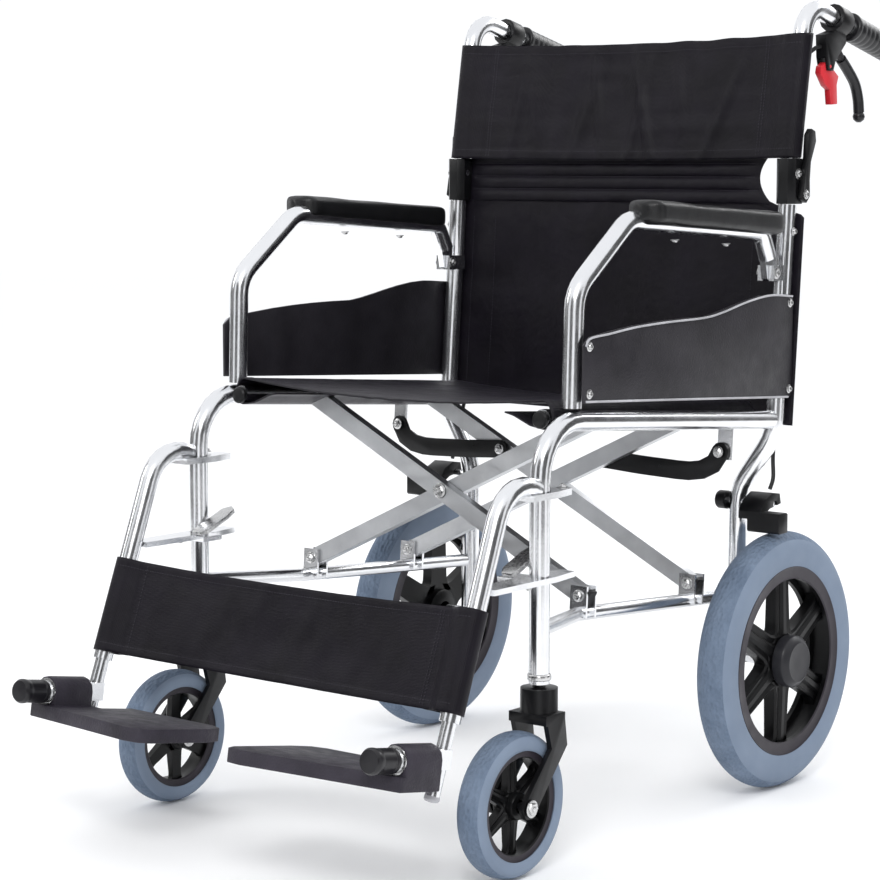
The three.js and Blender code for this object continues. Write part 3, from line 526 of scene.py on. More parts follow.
# ---- Carried-over CAD nodes ----
CAD_LOOK = {
    "polished": "front_frame_tube rear_post lower_rail arm_tube hanger_tube upper_post extension_tube "
                "seat_rail",
    "satin": "brace_bar_front_a brace_bar_front_b brace_bar_rear_a brace_bar_rear_b",
    "black": "back_hinge release_lever lever_clamp brake_shoe caster_fork",
    "paint": "brace_link", "grip": "brake_lever", "red": "lock_lever", "lever": "hanger_latch",
    "plate": "footplate", "guard": "skirt_guard",
}
LOOK_OF = {stem: look for look, stems in CAD_LOOK.items() for stem in stems.split()}
EDGE_R = {"footplate": 1.6, "caster_fork": 1.2, "skirt_guard": 0.7, "brake_shoe": 2.4, "back_hinge": 0.9,
          "lever_clamp": 0.9, "lock_lever": 0.9, "release_lever": 0.9, "hanger_latch": 0.9, "brace_link": 0.9}
for node_name, obj in NODES.items():
    stem = node_name if node_name in LOOK_OF else node_name.rsplit("_", 1)[0]
    if stem not in LOOK_OF:
        continue
    obj.data.materials.clear()
    obj.data.materials.append(M[LOOK_OF[stem]].m)
    weld = obj.modifiers.new("weld", "WELD")
    weld.merge_threshold = 1e-5
    if stem in EDGE_R:
        rounded(obj, EDGE_R[stem])
    for poly in obj.data.polygons:
        poly.use_smooth = True
    split = obj.modifiers.new("sharp_edges", "EDGE_SPLIT")
    split.split_angle = math.radians(38)


# ---- Wheels ----
def wheel_tyre(name, centre, outer, inner, body, hides, half):
    """A solid tyre: a full round crown with a pebbled tread and plain sidewalls."""
    prof = []
    steps = 26
    mid = (outer + inner) / 2
    crown = (outer - inner) / 2
    for i in range(steps + 1):
        a = math.pi * i / steps
        prof.append((mid + crown * max(0.0, math.sin(a)) ** 0.95, -half * math.cos(a)))
    wall = [(inner + 1.5, half * 0.72), (inner + 0.5, half * 0.86), (inner + crown * 0.12, half * 0.91),
            (inner + crown * 0.4, half * 0.965), (inner + crown * 0.7, half * 0.992)]
    prof = [(r, -h) for r, h in wall] + prof + list(reversed(wall))
    prof.append(prof[0])

    def which(p):
        r = math.hypot(p.y - centre.y, p.z - centre.z) * 1000
        return 1 if r > mid + crown * 0.6 else 0
    lathe(name, prof, centre, (1, 0, 0), ["side", "tread"], body, segments=112, hides=hides,
          slot="tyre", sharp=60, which=which)


def spoke_points(centre, side, r0, r1, w0, w1, depth, face, turn):
    """One ridged spoke from radius r0 to r1 at an angle turn, w0 wide at its root and w1 at its tip."""
    verts = []
    steps = 10
    radial = Vector((0, math.cos(turn), math.sin(turn)))
    across = Vector((0, -math.sin(turn), math.cos(turn)))
    for i in range(steps + 1):
        t = i / steps
        r = r0 + (r1 - r0) * t
        flare = 1 + 0.55 * max(0.0, 1 - t / 0.22) ** 2 + 0.75 * max(0.0, (t - 0.8) / 0.2) ** 2
        w = (w0 + (w1 - w0) * t) * flare / 2
        drop = 2.5 * t
        section = [(-w, -depth), (-w, -3 - drop), (-w * 0.82, -1.2 - drop), (-w * 0.42, -2.6 - drop),
                   (-w * 0.2, 0.6 - drop), (w * 0.2, 0.6 - drop), (w * 0.42, -2.6 - drop),
                   (w * 0.82, -1.2 - drop), (w, -3 - drop), (w, -depth)]
        for s, h in section:
            verts.append(centre + (radial * r + across * s + Vector((side, 0, 0)) * (face + h)) / 1000)
    return verts, quads(steps + 1, len(section)) + end_caps(steps + 1, len(section))


SPOKES = 6


def wheel_rim(name, centre, side, ring, body, hides, hub, half, boss, start, spoke_w):
    """A moulded wheel: a flanged barrel, spokes and a hub."""
    parts = []
    lip = ring * 0.125
    barrel = [(ring + 1, -half), (ring + 2.2, -half + 1.5), (ring - 1, -half + 4), (ring - 1.5, 0),
              (ring - 1, half - 4), (ring + 2.2, half - 1.5), (ring + 0.6, half), (ring - 1.2, half - 0.8),
              (ring - lip + 1.4, half - 1), (ring - lip, half - 2.4), (ring - lip, half - 8),
              (ring - 7, half - 10), (ring - 7, -half + 10), (ring - lip, -half + 8),
              (ring - lip, -half + 2.4), (ring - lip + 1.4, -half + 1), (ring - 1.2, -half + 0.8),
              (ring + 1, -half)]
    parts.append(lathe_points(barrel, centre, (side, 0, 0), 96))
    for k in range(SPOKES):
        turn = start + 2 * math.pi * k / SPOKES
        parts.append(spoke_points(centre, side, hub - 4, ring - 5, *spoke_w, half * 0.95, half - 7, turn))
    hub_prof = [(hub * 0.45, -boss), (hub * 0.9, -boss + 1), (hub, -boss + 3), (hub, half - 3),
                (hub * 0.92, half - 0.5), (hub * 0.5, half), (hub * 0.45, half - 1), (hub * 0.45, -boss)]
    parts.append(lathe_points(hub_prof, centre, (side, 0, 0), 48))

    def which(p):
        r = math.hypot(p.y - centre.y, p.z - centre.z) * 1000
        return 1 if r > ring - lip + 0.4 and abs(p.x - centre.x) * 1000 > half - 1.7 else 0
    finish_mesh(name, *merge(parts), ["rim", "flange"], body, hides=hides, slot="rim", sharp=32, which=which)


def build_wheels():
    cap = [(29.5, 12), (31, 14), (31, 25), (30, 27), (24.5, 32), (23, 32.6), (21, 32.2), (8, 32.2),
           (0.01, 32.3)]
    for name, s in SIDES.items():
        body = f"rear_wheel_{name}"
        centre = P(s * REAR_X, 0, REAR_R)
        wheel_tyre(f"tyre_rear_{name}", centre, REAR_R, REAR_INNER, body, [f"rear_tyre_{name}"], half=21)
        wheel_rim(f"rim_rear_{name}", centre, s, REAR_INNER, body, [f"rear_rim_{name}"],
                  hub=27, half=19, boss=16, start=math.pi / 2, spoke_w=(33, 27))
        lathe(f"hub_cap_{name}", cap, centre, (s, 0, 0), "hub", body, segments=48, sharp=30)
        nut = (P(s * (LOWER_X - 15.5), 0, REAR_R), (-s, 0, 0), 9, HEXED)
        screws(f"axle_nut_{name}", [nut], f"frame_{name}")
        body = f"caster_wheel_{name}"
        centre = P(s * FRAME_X, CASTER_Y, CASTER_R)
        wheel_tyre(f"tyre_front_{name}", centre, CASTER_R, CASTER_INNER, body, [f"caster_tyre_{name}"],
                   half=16)
        wheel_rim(f"rim_front_{name}", centre, s, CASTER_INNER, body, [f"caster_rim_{name}"],
                  hub=15, half=12.5, boss=14, start=math.pi / 6, spoke_w=(17, 12))


build_wheels()


# ---- Grips and pads ----
HANDLE_TURN_Z = 924
HANDLE_END = (268, 876)
HANDLE_SLOPE = math.atan((HANDLE_TURN_Z - HANDLE_END[1]) / (HANDLE_END[0] - upper_y(HANDLE_TURN_Z)))


def handle_z(y):
    """Height of the handle's axis at y."""
    return HANDLE_END[1] + (HANDLE_END[0] - y) * math.tan(HANDLE_SLOPE)


def build_grips():
    """Ribbed push grips on the ends of the handles."""
    length, start_y = 117, 166
    for name, s in SIDES.items():
        prof = [(11.3, 0), (15.8, 0), (17.4, 1.2), (17.8, 3.5), (17.4, 6), (15.6, 8)]
        for i in range(9):
            h = 14 + i * 10.5
            prof += [(15.9, h - 3), (16.5, h), (16.5, h + 4.4), (15.9, h + 6.4)]
        prof += [(15.9, length - 8), (16.8, length - 6), (16.8, length - 2.5), (14.6, length - 0.6),
                 (5, length), (0.01, length)]
        axis = Vector((0, math.cos(HANDLE_SLOPE), -math.sin(HANDLE_SLOPE)))
        lathe(f"hand_grip_{name}", prof, P(s * FRAME_X, start_y, handle_z(start_y)), axis, "grip",
              f"upper_{name}", segments=40, hides=[f"push_grip_{name}"], slot="grip", sharp=50)


PAD_X, PAD_FRONT, PAD_REAR, PAD_SLOPE = 251, -279, -8, math.atan(18 / 270)
PAD_BOTTOM, PAD_HALF_WIDTH, PAD_HALF_HEIGHT, PAD_NOSE = 653.9, 22.5, 13.2, 14


def build_pads():
    """Armrest pads: a rounded bar of foam, blunt at both ends and fuller towards the rear."""
    run = (PAD_REAR - PAD_FRONT) / math.cos(PAD_SLOPE)
    cols, rows = 40, 44
    for name, s in SIDES.items():

        def at(u, v, s=s):
            d = v * run
            end = min(1, min(d, run - d) / PAD_NOSE)
            k = 0.12 + 0.88 * math.sqrt(max(0.0, 1 - (1 - end) ** 2))
            a = 2 * math.pi * u
            ca, sa = math.cos(a), math.sin(a)
            swell = 1 + 0.035 * math.exp(-((d - 34) / 26) ** 2)
            x = math.copysign(math.sqrt(abs(ca)), ca) * PAD_HALF_WIDTH * k * swell
            height = math.copysign(math.sqrt(abs(sa)), sa) * PAD_HALF_HEIGHT
            z = PAD_HALF_HEIGHT + height * (0.55 + 0.45 * k) * swell + 1.2 * fold_noise(d * 0.02, a, 3.0)
            y = PAD_REAR - d * math.cos(PAD_SLOPE)
            return P(s * PAD_X + x, y, PAD_BOTTOM + d * math.sin(PAD_SLOPE) + z)
        verts, faces = grid(rows, cols, at, wrap=True)
        faces += end_caps(rows, cols)
        pad = finish_mesh(f"armrest_pad_{name}", verts, faces, "pad", f"frame_{name}",
                          hides=[f"arm_pad_{name}"], slot="pad", sharp=70)
        spots = ((-198, 653), (-93, 646))
        screws(f"pad_screws_{name}", [(P(s * ARM_X, y, z), (0, 0.06, -1), 3.4) for y, z in spots],
               f"frame_{name}")


build_grips()
build_pads()


def cloth(name, rows, cols, at, look, body, hides, thick=1.5):
    """A sheet of cloth from a grid of points, given a thickness."""
    verts, faces = grid(rows, cols, at)
    obj = finish_mesh(name, verts, faces, look, body, hides=hides, slot="webbing", sharp=80)
    thicken(obj, thick)
    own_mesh(obj)
    return obj


def seam(name, lines, body):
    """Rows of stitches as one piece; each line is (points, normals)."""
    obj = finish_mesh(name, *merge([stitch_points(a, b) for a, b in lines]), "thread", body, sharp=80)
    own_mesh(obj)
    return obj


def path_at(path, t):
    """The point at share t along a polyline of (x, a) pairs, by length."""
    lengths = [math.dist(a, b) for a, b in zip(path, path[1:])]
    want = t * sum(lengths)
    for (a, b), step in zip(zip(path, path[1:]), lengths):
        if want <= step or (a, b) == (path[-2], path[-1]):
            k = min(1.0, want / step)
            return (a[0] + (b[0] - a[0]) * k, a[1] + (b[1] - a[1]) * k)
        want -= step
    return path[-1]


def polyline_length(path):
    return sum(math.dist(a, b) for a, b in zip(path, path[1:]))


def band_path(tube_x, r, reach, dip):
    """A band from seam to seam round a tube at each end: (x, a) with a square to the band."""
    half = [(tube_x - reach, 1.1), (tube_x - reach + 9, 1.9), (tube_x - reach * 0.35, r * 0.86)]
    turns = [math.radians(88 - 17.6 * i) for i in range(11)]
    arc = [(tube_x + r * math.cos(t), r * math.sin(t)) for t in turns]
    front = [(tube_x - reach * 0.35, -r * 0.86), (tube_x - reach + 9, -1.9), (tube_x - reach, -1.1)]
    right = half + arc + front
    middle = [(x, dip * (1 - (x / (tube_x - reach)) ** 2) - 1.1) for x in
              [(tube_x - reach) * (1 - i / 12) for i in range(1, 24)]]
    left = [(-x, a) for x, a in reversed(right)]
    return right + middle + left


# Creases of the flap: x at its foot, lean, width and depth in mm, and where it is deepest
FLAP_CREASES = (
    (122, -60, 7, 4.2, 0.7), (96, 26, 9, 3.6, 1.4), (48, 38, 7, 4.6, 0.8), (12, -30, 8, 4.4, 0.6),
    (-28, 24, 6, 3.4, 1.2), (-76, -44, 9, 4.0, 0.7), (-122, 30, 10, 3.0, 1.3), (-170, -20, 8, 3.2, 0.8),
)


def build_back_upper():
    """The flap that sleeves over the two upper posts."""
    low, high = 743, 888
    path = band_path(FRAME_X, TUBE_R + 1.1, 45, 5)

    def at(u, v):
        x, a = path_at(path, u)
        edge = abs(x) / FRAME_X
        mid = max(0.0, 1 - edge ** 2)
        top = high - 5.0 * mid + 1.2 * fold_noise(x * 0.03, 2, 5)
        bottom = low - 3.0 * mid
        z = bottom + (top - bottom) * v
        front = 1 if (0.16 < u < 0.84) else 0
        drape = 4.2 * fold_noise(x * 0.017 + v * 0.6, v * 1.1, 1.7) + 2.2 * fold_noise(x * 0.04, v * 1.6, 4.0)
        crease = sum(h * math.exp(-((x - at_x + lean * v) / w) ** 2)
                     * math.sin(math.pi * (0.12 + 0.88 * v) ** k) for at_x, lean, w, h, k in FLAP_CREASES)
        pull = 0.9 * fold_noise(x * 0.012, v * 9, 7.0) * min(1, abs(abs(x) - FRAME_X) / 60)
        hem = 0.7 if (v < 0.07 or v > 0.93) else 0.0
        y = upper_y(z) + a - front * mid * drape - front * min(1, 4 * mid) * crease - pull - hem * front
        return P(x, y, z)
    flat = (polyline_length(path) / 1000, (high - low) * math.hypot(1, UPPER_LEAN) / 1000)
    obj = cloth("back_flap", 46, 220, at, "cloth", "upper_left", ["back_upper"])
    flap_seams(at, path)


def along(a, b, count):
    """Evenly spaced values from a to b."""
    return [a + (b - a) * i / count for i in range(count + 1)]


def share_at_x(path, x):
    """The share along a band's front layer where it crosses x."""
    total = polyline_length(path)
    run = 0.0
    best = (1e9, 0.5)
    for a, b in zip(path, path[1:]):
        step = math.dist(a, b)
        if a[1] < 0 and (a[0] - x) * (b[0] - x) <= 0 and a[0] != b[0]:
            k = (x - a[0]) / (b[0] - a[0])
            return (run + step * k) / total
        if abs(a[0] - x) < best[0] and a[1] < 0:
            best = (abs(a[0] - x), run / total)
        run += step
    return best[1]


def surface_line(at, points, lift=0.9):
    """Points and normals along a line of (u, v) on a surface, lifted off it."""
    line, normals = [], []
    for u, v in points:
        p = at(u, v)
        e = 0.002
        du = at(min(1, u + e), v) - at(max(0, u - e), v)
        dv = at(u, min(1, v + e)) - at(u, max(0, v - e))
        n = du.cross(dv).normalized()
        if n.y > 0 and abs(n.y) > 0.3:
            n = -n
        line.append(p + n * (lift / 1000))
        normals.append(n)
    return line, normals


def flap_seams(at, path):
    lines = []
    for x in (FRAME_X - 42, -(FRAME_X - 42)):
        for off in (0, 4):
            u = share_at_x(path, x - math.copysign(off, x))
            lines.append(surface_line(at, [(u, v) for v in along(0.02, 0.98, 30)]))
    u0, u1 = share_at_x(path, FRAME_X + 6), share_at_x(path, -(FRAME_X + 6))
    lines += [surface_line(at, [(u, v) for u in along(u0, u1, 90)]) for v in (0.075, 0.925)]
    return seam("back_flap_stitching", lines, "upper_left")


def build_calf_strap():
    """The strap behind the legs, sleeved over the two hanger tubes."""
    tilt = math.atan2(HANGER_SLOPE, 1)
    length = 107
    base = (on_hanger(192), 192)
    path = band_path(HANGER_X, TUBE_R + 1.4, 36, 9)
    run = Vector((0, math.sin(tilt), math.cos(tilt)))
    off = Vector((0, math.cos(tilt), -math.sin(tilt)))

    def at(u, v):
        x, a = path_at(path, u)
        mid = max(0.0, 1 - (x / HANGER_X) ** 2)
        h = -1 + length * v - (3.0 * mid if v > 0.5 else -0.5 * mid) * abs(2 * v - 1)
        drape = 4.6 * fold_noise(x * 0.016 + v * 0.5, v * 1.4, 11.0) + 1.6 * fold_noise(x * 0.05, v * 3, 15.0)
        ripple = 0.8 * fold_noise(x * 0.09, v * 1.2, 21.0) * math.exp(-((abs(x) - 205) / 26) ** 2)
        hem = 0.6 if (v < 0.08 or v > 0.92) else 0
        front = 1 if 0.12 < u < 0.88 else 0
        a2 = a + front * (mid * drape + ripple) - hem * front
        return P(x, base[0], base[1]) + (run * h + off * a2) / 1000
    flat = (polyline_length(path) / 1000, length / 1000)
    obj = cloth("calf_band", 34, 200, at, "cloth", "frame_left", ["calf_strap"])
    lines = []
    for x in (HANGER_X - 36, -(HANGER_X - 36)):
        for step in (0, 4, 34):
            u = share_at_x(path, x - math.copysign(step, x))
            lines.append(surface_line(at, [(u, v) for v in along(0.03, 0.97, 24)]))
    u0, u1 = share_at_x(path, HANGER_X + 5), share_at_x(path, -(HANGER_X + 5))
    lines += [surface_line(at, [(u, v) for u in along(u0, u1, 90)]) for v in (0.085, 0.915)]
    stitched = seam("calf_band_stitching", lines, "frame_left")


def build_back_lower():
    """The lower back panel behind the posts, and the channelled lumbar pad above it."""
    base = TUBE_R + 1.2
    low, high = 429, 692

    def half_width(z):
        return 264.0 if z < 676 else 264 - 50 * ((z - 676) / 16) ** 0.8

    def at(u, v):
        z = low + (high - low) * v
        x = (2 * u - 1) * (half_width(z) if u > 0.5 else 264)
        mid = max(0.0, 1 - (x / 236) ** 2)
        billow = 7.0 * mid ** 0.7 * (0.55 + 0.45 * math.sin(math.pi * v))
        drape = 4.4 * fold_noise(x * 0.016, v * 1.2, 31.0) + 2.4 * fold_noise(x * 0.04, v * 2.0, 35.0)
        strain = 1.5 * fold_noise(v * 11, x * 0.008, 39.0) * math.exp(-((abs(x) - 224) / 20) ** 2)
        hem = 0.8 if abs(x) > half_width(z) - 22 or v < 0.06 else 0.0
        return P(x, back_y(z) + base + billow + mid * drape + strain - hem, z)
    obj = cloth("back_panel", 70, 110, at, "cloth", "frame_left", ["back_lower"])
    lines = [surface_line(at, [(0.5 + x / 528, v) for v in along(0.01, 0.91, 50)])
             for x in (228, 194, -194, -228)]
    stitched = seam("back_panel_stitching", lines, "frame_left")

    top, bottom, channels = 752, 688, 4

    def edge(v, near):
        bulge = math.sin(math.pi * min(1, max(0, (v - 0.02) / 0.96)))
        return (219 - 19 * bulge ** 0.8) if near else (238 - 3 * bulge ** 0.8)

    def lumbar(u, v, side):
        z = bottom + (top - bottom) * v
        x = (2 * u - 1) * edge(v, u > 0.5)
        part = (v * channels) % 1.0
        puff = math.sin(math.pi * part) ** 0.6 * (1 - abs(2 * u - 1) ** 10)
        pucker = 1 + 0.22 * fold_noise(x * 0.09, v * channels, 51.0)
        mid = max(0.0, 1 - (x / 236) ** 2)
        sag = 7.0 * mid ** 0.7 * 0.6
        y = back_y(z) + base + sag - 1.2
        y += side * (0.9 + 4.0 * puff * pucker) + 1.6 * mid * fold_noise(x * 0.016, v, 55.0)
        return P(x, y, z)
    rows, cols = 49, 120
    fv, ff = grid(rows, cols, lambda u, v: lumbar(u, v, -1))
    bv, bf = grid(rows, cols, lambda u, v: lumbar(u, v, 0.6))
    count = len(fv)
    rim = []
    loop = list(range(cols)) + [r * cols + cols - 1 for r in range(1, rows)]
    loop += [(rows - 1) * cols + c for c in reversed(range(cols - 1))]
    loop += [r * cols for r in reversed(range(1, rows - 1))]
    for a, b in zip(loop, loop[1:] + loop[:1]):
        rim.append((a, b, b + count, a + count))
    faces = ff + [tuple(i + count for i in reversed(f)) for f in bf] + rim
    pad = finish_mesh("lumbar_pad", fv + bv, faces, "cloth", "frame_left", slot="webbing", sharp=75)
    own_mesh(pad)
    lines = []
    for k in range(channels + 1):
        v = min(0.99, max(0.01, k / channels))
        pts = [(u, v) for u in along(0.015, 0.985, 90)]
        lines.append(surface_line(lambda u, w: lumbar(u, w, -1), pts, lift=0.5))
    seam("lumbar_stitching", lines, "frame_left")


def build_seat():
    """The sling seat, wrapped round both seat rails and sagging between them."""
    r = 11.6
    reach = 52
    front, rear = -407, -6
    under = [(SEAT_RAIL_X - reach, 3.4), (SEAT_RAIL_X - reach + 12, 0.8), (SEAT_RAIL_X - 18, -8.6)]
    pad = 6.5  # the sling's padding above the rails

    def swell(t):
        return r + pad * max(0.0, math.sin(t)) ** 1.5
    turns = [math.radians(-112 + 20.2 * i) for i in range(11)]
    arc = [(SEAT_RAIL_X + r * math.cos(t), swell(t) * math.sin(t)) for t in turns]
    right = under + arc
    inner = SEAT_RAIL_X - 6
    across = [inner * (1 - i / 20) for i in range(1, 40)]
    middle = [(x, r + pad - 9.0 * (1 - (x / inner) ** 2) ** 0.8) for x in across]
    path = right + middle + [(-x, a) for x, a in reversed(right)]

    def at(u, v):
        x, a = path_at(path, u)
        y = front + (rear - front) * v
        top = 1 if a > 0 and 0.1 < u < 0.9 else 0
        mid = max(0.0, 1 - (x / 205) ** 2)
        soft = 1.5 * fold_noise(x * 0.013, v * 3.2, 61.0) + 0.8 * fold_noise(x * 0.05, v * 7, 65.0)
        pull = 1.2 * fold_noise(v * 16, x * 0.006, 69.0) * math.exp(-((abs(x) - 180) / 30) ** 2)
        hem = 0.7 if (v < 0.035 or v > 0.965) else 0
        lip = -3.0 * mid * math.exp(-v / 0.03)
        z = rail_z(y) + 1 + a + top * (mid * soft + pull + hem + lip)
        return P(x, y, z)
    flat = (polyline_length(path) / 1000, (rear - front) * math.hypot(1, RAIL_SLOPE) / 1000)
    # The seat's cloth takes the lighter seat weave, a painted highlight for the light on its upturned top.
    obj = cloth("seat_cloth", 120, 190, at, "seat", "seat", ["seat_sling"], thick=1.7)
    lines = []
    for x in (SEAT_RAIL_X - reach, -(SEAT_RAIL_X - reach)):
        u = min((abs(path_at(path, share)[0] - x), share) for share in along(0.1, 0.9, 4000))[1]
        for off in (0, 0.006):
            lines.append(upward(surface_line(at, [(u + off, v) for v in along(0.01, 0.99, 90)], lift=0)))
    for v in (0.04, 0.96):
        lines.append(upward(surface_line(at, [(u, v) for u in along(0.14, 0.86, 110)], lift=0)))
    stitched = seam("seat_stitching", lines, "seat")


def upward(line_and_normals):
    """The same line lifted off the top of the cloth."""
    line, normals = line_and_normals
    normals = [n if n.z > 0 else -n for n in normals]
    return [p + n * (STITCH_LIFT / 1000) for p, n in zip(line, normals)], normals


build_back_upper()
build_calf_strap()
build_back_lower()
build_seat()


# ---- Fittings ----
def plug_points(centre, axis, radius):
    """A domed plug in the end of a tube."""
    prof = [(radius, -1), (radius + 0.7, 0), (radius + 0.7, 3), (radius - 1, 5), (radius * 0.4, 5.8),
            (0.01, 6)]
    return lathe_points(prof, centre, axis, 28)


RAIL_END_Y = -411.5
AXLE_SINK = 0.0004  # in metres, how far an axle's end sits in the fork's cheek
KNOB_TILT = math.radians(10)
LINK_REACH = 87  # from the brace's centre to the link's bolt on a bar
BLOCK_FACES = ((0, 1, 3, 2), (4, 6, 7, 5), (0, 4, 5, 1), (2, 3, 7, 6), (0, 2, 6, 4), (1, 5, 7, 3))
# (y, z) along the skirt guard's bright edges
GUARD_TOP = ((-393, 546.5), (-384, 554.5), (-350, 557.5), (-300, 562), (-240, 564.3), (-168, 565.4),
             (-130, 569.5), (-75, 579.5), (-25, 584.5), (22, 581.5))
GUARD_BOTTOM = ((-392, 488.5), (-250, 480), (-120, 472), (-40, 467), (15, 463.7))
BETA = math.atan(BRACE_SLOPE)
BRACE_ALONG = Vector((0, math.cos(BETA), -math.sin(BETA)))
BRACE_UP = Vector((0, math.sin(BETA), math.cos(BETA)))


def brace(x, a, up):
    """A point of the brace's tilted plane: a along its feet, up square to them."""
    return P(x, *BRACE_FOOT) + (BRACE_ALONG * a + BRACE_UP * up) / 1000


def frame_fittings(name, s):
    """Screws of the arm tube, skirt guard and hanger plates, the guard's bright beads and the tube plugs."""
    body = f"frame_{name}"
    out = (s, 0, 0)
    arm = [(P(s * 253.2, 0, 609), out, 4.6), (P(s * 230.8, 0, 609), (-s, 0, 0), 4.6),
           (P(s * 258, 29, 657), out, 3.4)]
    screws(f"arm_screws_{name}", arm, body)
    corners = ((-386, 546), (-386, 496), (17, 574), (17, 473))
    screws(f"guard_screws_{name}", [(P(s * 261.4, y, z), out, 3.6) for y, z in corners], body)
    hangers = [(P(s * 258, POST_Y + 24, 401), (0, 0, 1), 4.2, HEXED),
               (P(s * 254, -470, 401), (0, 0, 1), 4.2, HEXED),
               (P(s * 252, -478, 304), (0, 0, -1), 4, HEXED)]
    screws(f"hanger_bolts_{name}", hangers, body)
    beads = [tube_points(guard_edge(s, knots), 1.3, 8) for knots in (GUARD_BOTTOM, GUARD_TOP)]
    finish_mesh(f"guard_beads_{name}", *merge(beads), "guard_edge", body, sharp=60)
    slope = Vector((0, 1, -RAIL_SLOPE)).normalized()
    plug = plug_points(P(s * SEAT_RAIL_X, RAIL_END_Y, rail_z(RAIL_END_Y) - 0.5), -slope, 8.9)
    finish_mesh(f"seat_rail_plug_{name}", *plug, "black", "brace_b" if s > 0 else "brace_a", sharp=28)
    plug = plug_points(P(s * LOWER_X, 0, 134), (0, 0, -1), 10.2)
    finish_mesh(f"post_plug_{name}", *plug, "black", body, sharp=28)


def caster_fittings(name, s):
    """The collar and nut on a caster's stem and the two ends of its axle."""
    fork = f"caster_fork_{name}"
    collar = [(12.2, -4), (12.8, -3), (12.8, 1), (12.2, 2), (11.3, 2.6), (11.3, -4), (12.2, -4)]
    lathe(f"stem_collar_{name}", collar, P(s * FRAME_X, POST_Y, 205), (0, 0, 1), "steel", f"frame_{name}",
          segments=36)
    nut = [(9, 0), (10.5, 1.5), (10.5, 5), (9, 6.5), (0.01, 6.5)]
    lathe(f"stem_nut_{name}", nut, P(s * FRAME_X, POST_Y, 198), (0, 0, 1), "steel", fork, segments=6)
    lo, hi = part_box(fork)
    axle = P(0, CASTER_Y, CASTER_R)
    ends = [(Vector((hi.x - AXLE_SINK, axle.y, axle.z)), (1, 0, 0), 6.5, HEXED),
            (Vector((lo.x + AXLE_SINK, axle.y, axle.z)), (-1, 0, 0), 6.5, HEXED)]
    screws(f"caster_axle_{name}", ends, fork)


def hinge_and_brake_fittings(name, s):
    """Screws of the back hinge and its trigger, and the cap, bolts and lever sleeve of the brake."""
    body = f"frame_{name}"
    out, inward = (s, 0, 0), (-s, 0, 0)
    screws(f"back_hinge_screws_{name}", [(P(s * 260, HINGE_Y, HINGE_Z), out, 4.6)], body)
    screws(f"release_screw_{name}", [(P(s * 266.9, 40, 700), out, 3.8)], f"release_lever_{name}")
    cap = [(9.5, 0), (11, 1.2), (11, 12), (10, 13.6), (6, 14), (0.01, 14)]
    lathe(f"brake_cap_{name}", cap, P(s * (LOWER_X - 11.2), 0, 337), inward, "black", body, segments=32)
    brake = [(P(s * (LOWER_X - 25), 0, 337), inward, 4.6, HEXED),
             (P(s * (LOWER_X + TUBE_R), 0, 240), out, 3.2)]
    screws(f"brake_bolts_{name}", brake, body)
    knots = ((150, 861), (166, 849), (184, 833), (193, 815), (196, 798))
    route = smooth_path([P(s * FRAME_X, y, z) for y, z in knots], 5)
    finish_mesh(f"lever_sleeve_{name}", *tube_points(route, 6.6, 14), "grip", f"brake_lever_{name}", sharp=50)


def extension_fittings(name, s):
    """The plug in an extension tube's foot and the footplate's knob with its washer."""
    body = f"extension_{name}"
    run = Vector((0, -HANGER_SLOPE, -1)).normalized()
    foot = plug_points(P(s * HANGER_X, on_hanger(113), 113), run, 7.4)
    finish_mesh(f"extension_plug_{name}", *foot, "guard_edge", body, sharp=28)
    fwd = Vector((0, -math.cos(KNOB_TILT), math.sin(KNOB_TILT)))
    centre = P(s * HANGER_X, -659, 155)
    washer = [(15, 31.3), (15, 33), (9, 33.4), (9, 31.3), (15, 31.3)]
    lathe(f"knob_washer_{name}", washer, centre, fwd, "steel", body, segments=32)
    knob = [(9, 33.6), (11.5, 34), (12.8, 37), (12.8, 40)]
    for i in range(5):
        knob += [(12.1, 41 + i * 4.5), (12.9, 43 + i * 4.5)]
    knob += [(13.4, 65), (13.4, 68), (11.5, 71), (0.01, 71.5)]
    lathe(f"knob_cap_{name}", knob, centre, fwd, "knob", body, segments=30, sharp=40)


def brace_fittings(name, s):
    """Bolts in the brace's clevises and J link, and the caps on the lower ends of its bars."""
    tabs = (-12, 204) if s > 0 else (2, 184)
    bolts = [(brace(s * LOWER_X, a + e * 10.2, 0), BRACE_ALONG * e, 4.6, HEXED)
             for a in tabs for e in (-1, 1)]
    screws(f"clevis_bolts_{name}", bolts, f"frame_{name}")
    bar = Vector((-s * math.cos(BRACE_ANGLE), 0, math.sin(BRACE_ANGLE)))
    square = BRACE_ALONG.cross(bar)
    caps = []
    for a in tabs:
        foot_at = brace(s * LOWER_X, a, 0)
        corners = [foot_at + (bar * t + BRACE_ALONG * e + square * w) / 1000
                   for t in (-10.6, -3.4) for e in (-7.1, 7.1) for w in (-10.3, 10.3)]
        caps.append((corners, BLOCK_FACES))
    rounded(finish_mesh(f"bar_caps_{name}", *merge(caps), "black", "brace_a" if s > 0 else "brace_b"), 1.4)
    link = [(brace(s * 240, 189, 156), -BRACE_ALONG, 4.6, HEXED),
            (brace(s * 240, 200, 156), BRACE_ALONG, 4.2, HEXED)]
    screws(f"link_frame_bolt_{name}", link, f"frame_{name}")
    across, up = LINK_REACH * math.cos(BRACE_ANGLE), (BRACE_HALF + LINK_REACH) * math.sin(BRACE_ANGLE)
    bolt = (brace(s * across, 191.9, up), -BRACE_ALONG, 4.6, HEXED)
    screws(f"link_bar_bolt_{name}", [bolt], f"link_{name}")


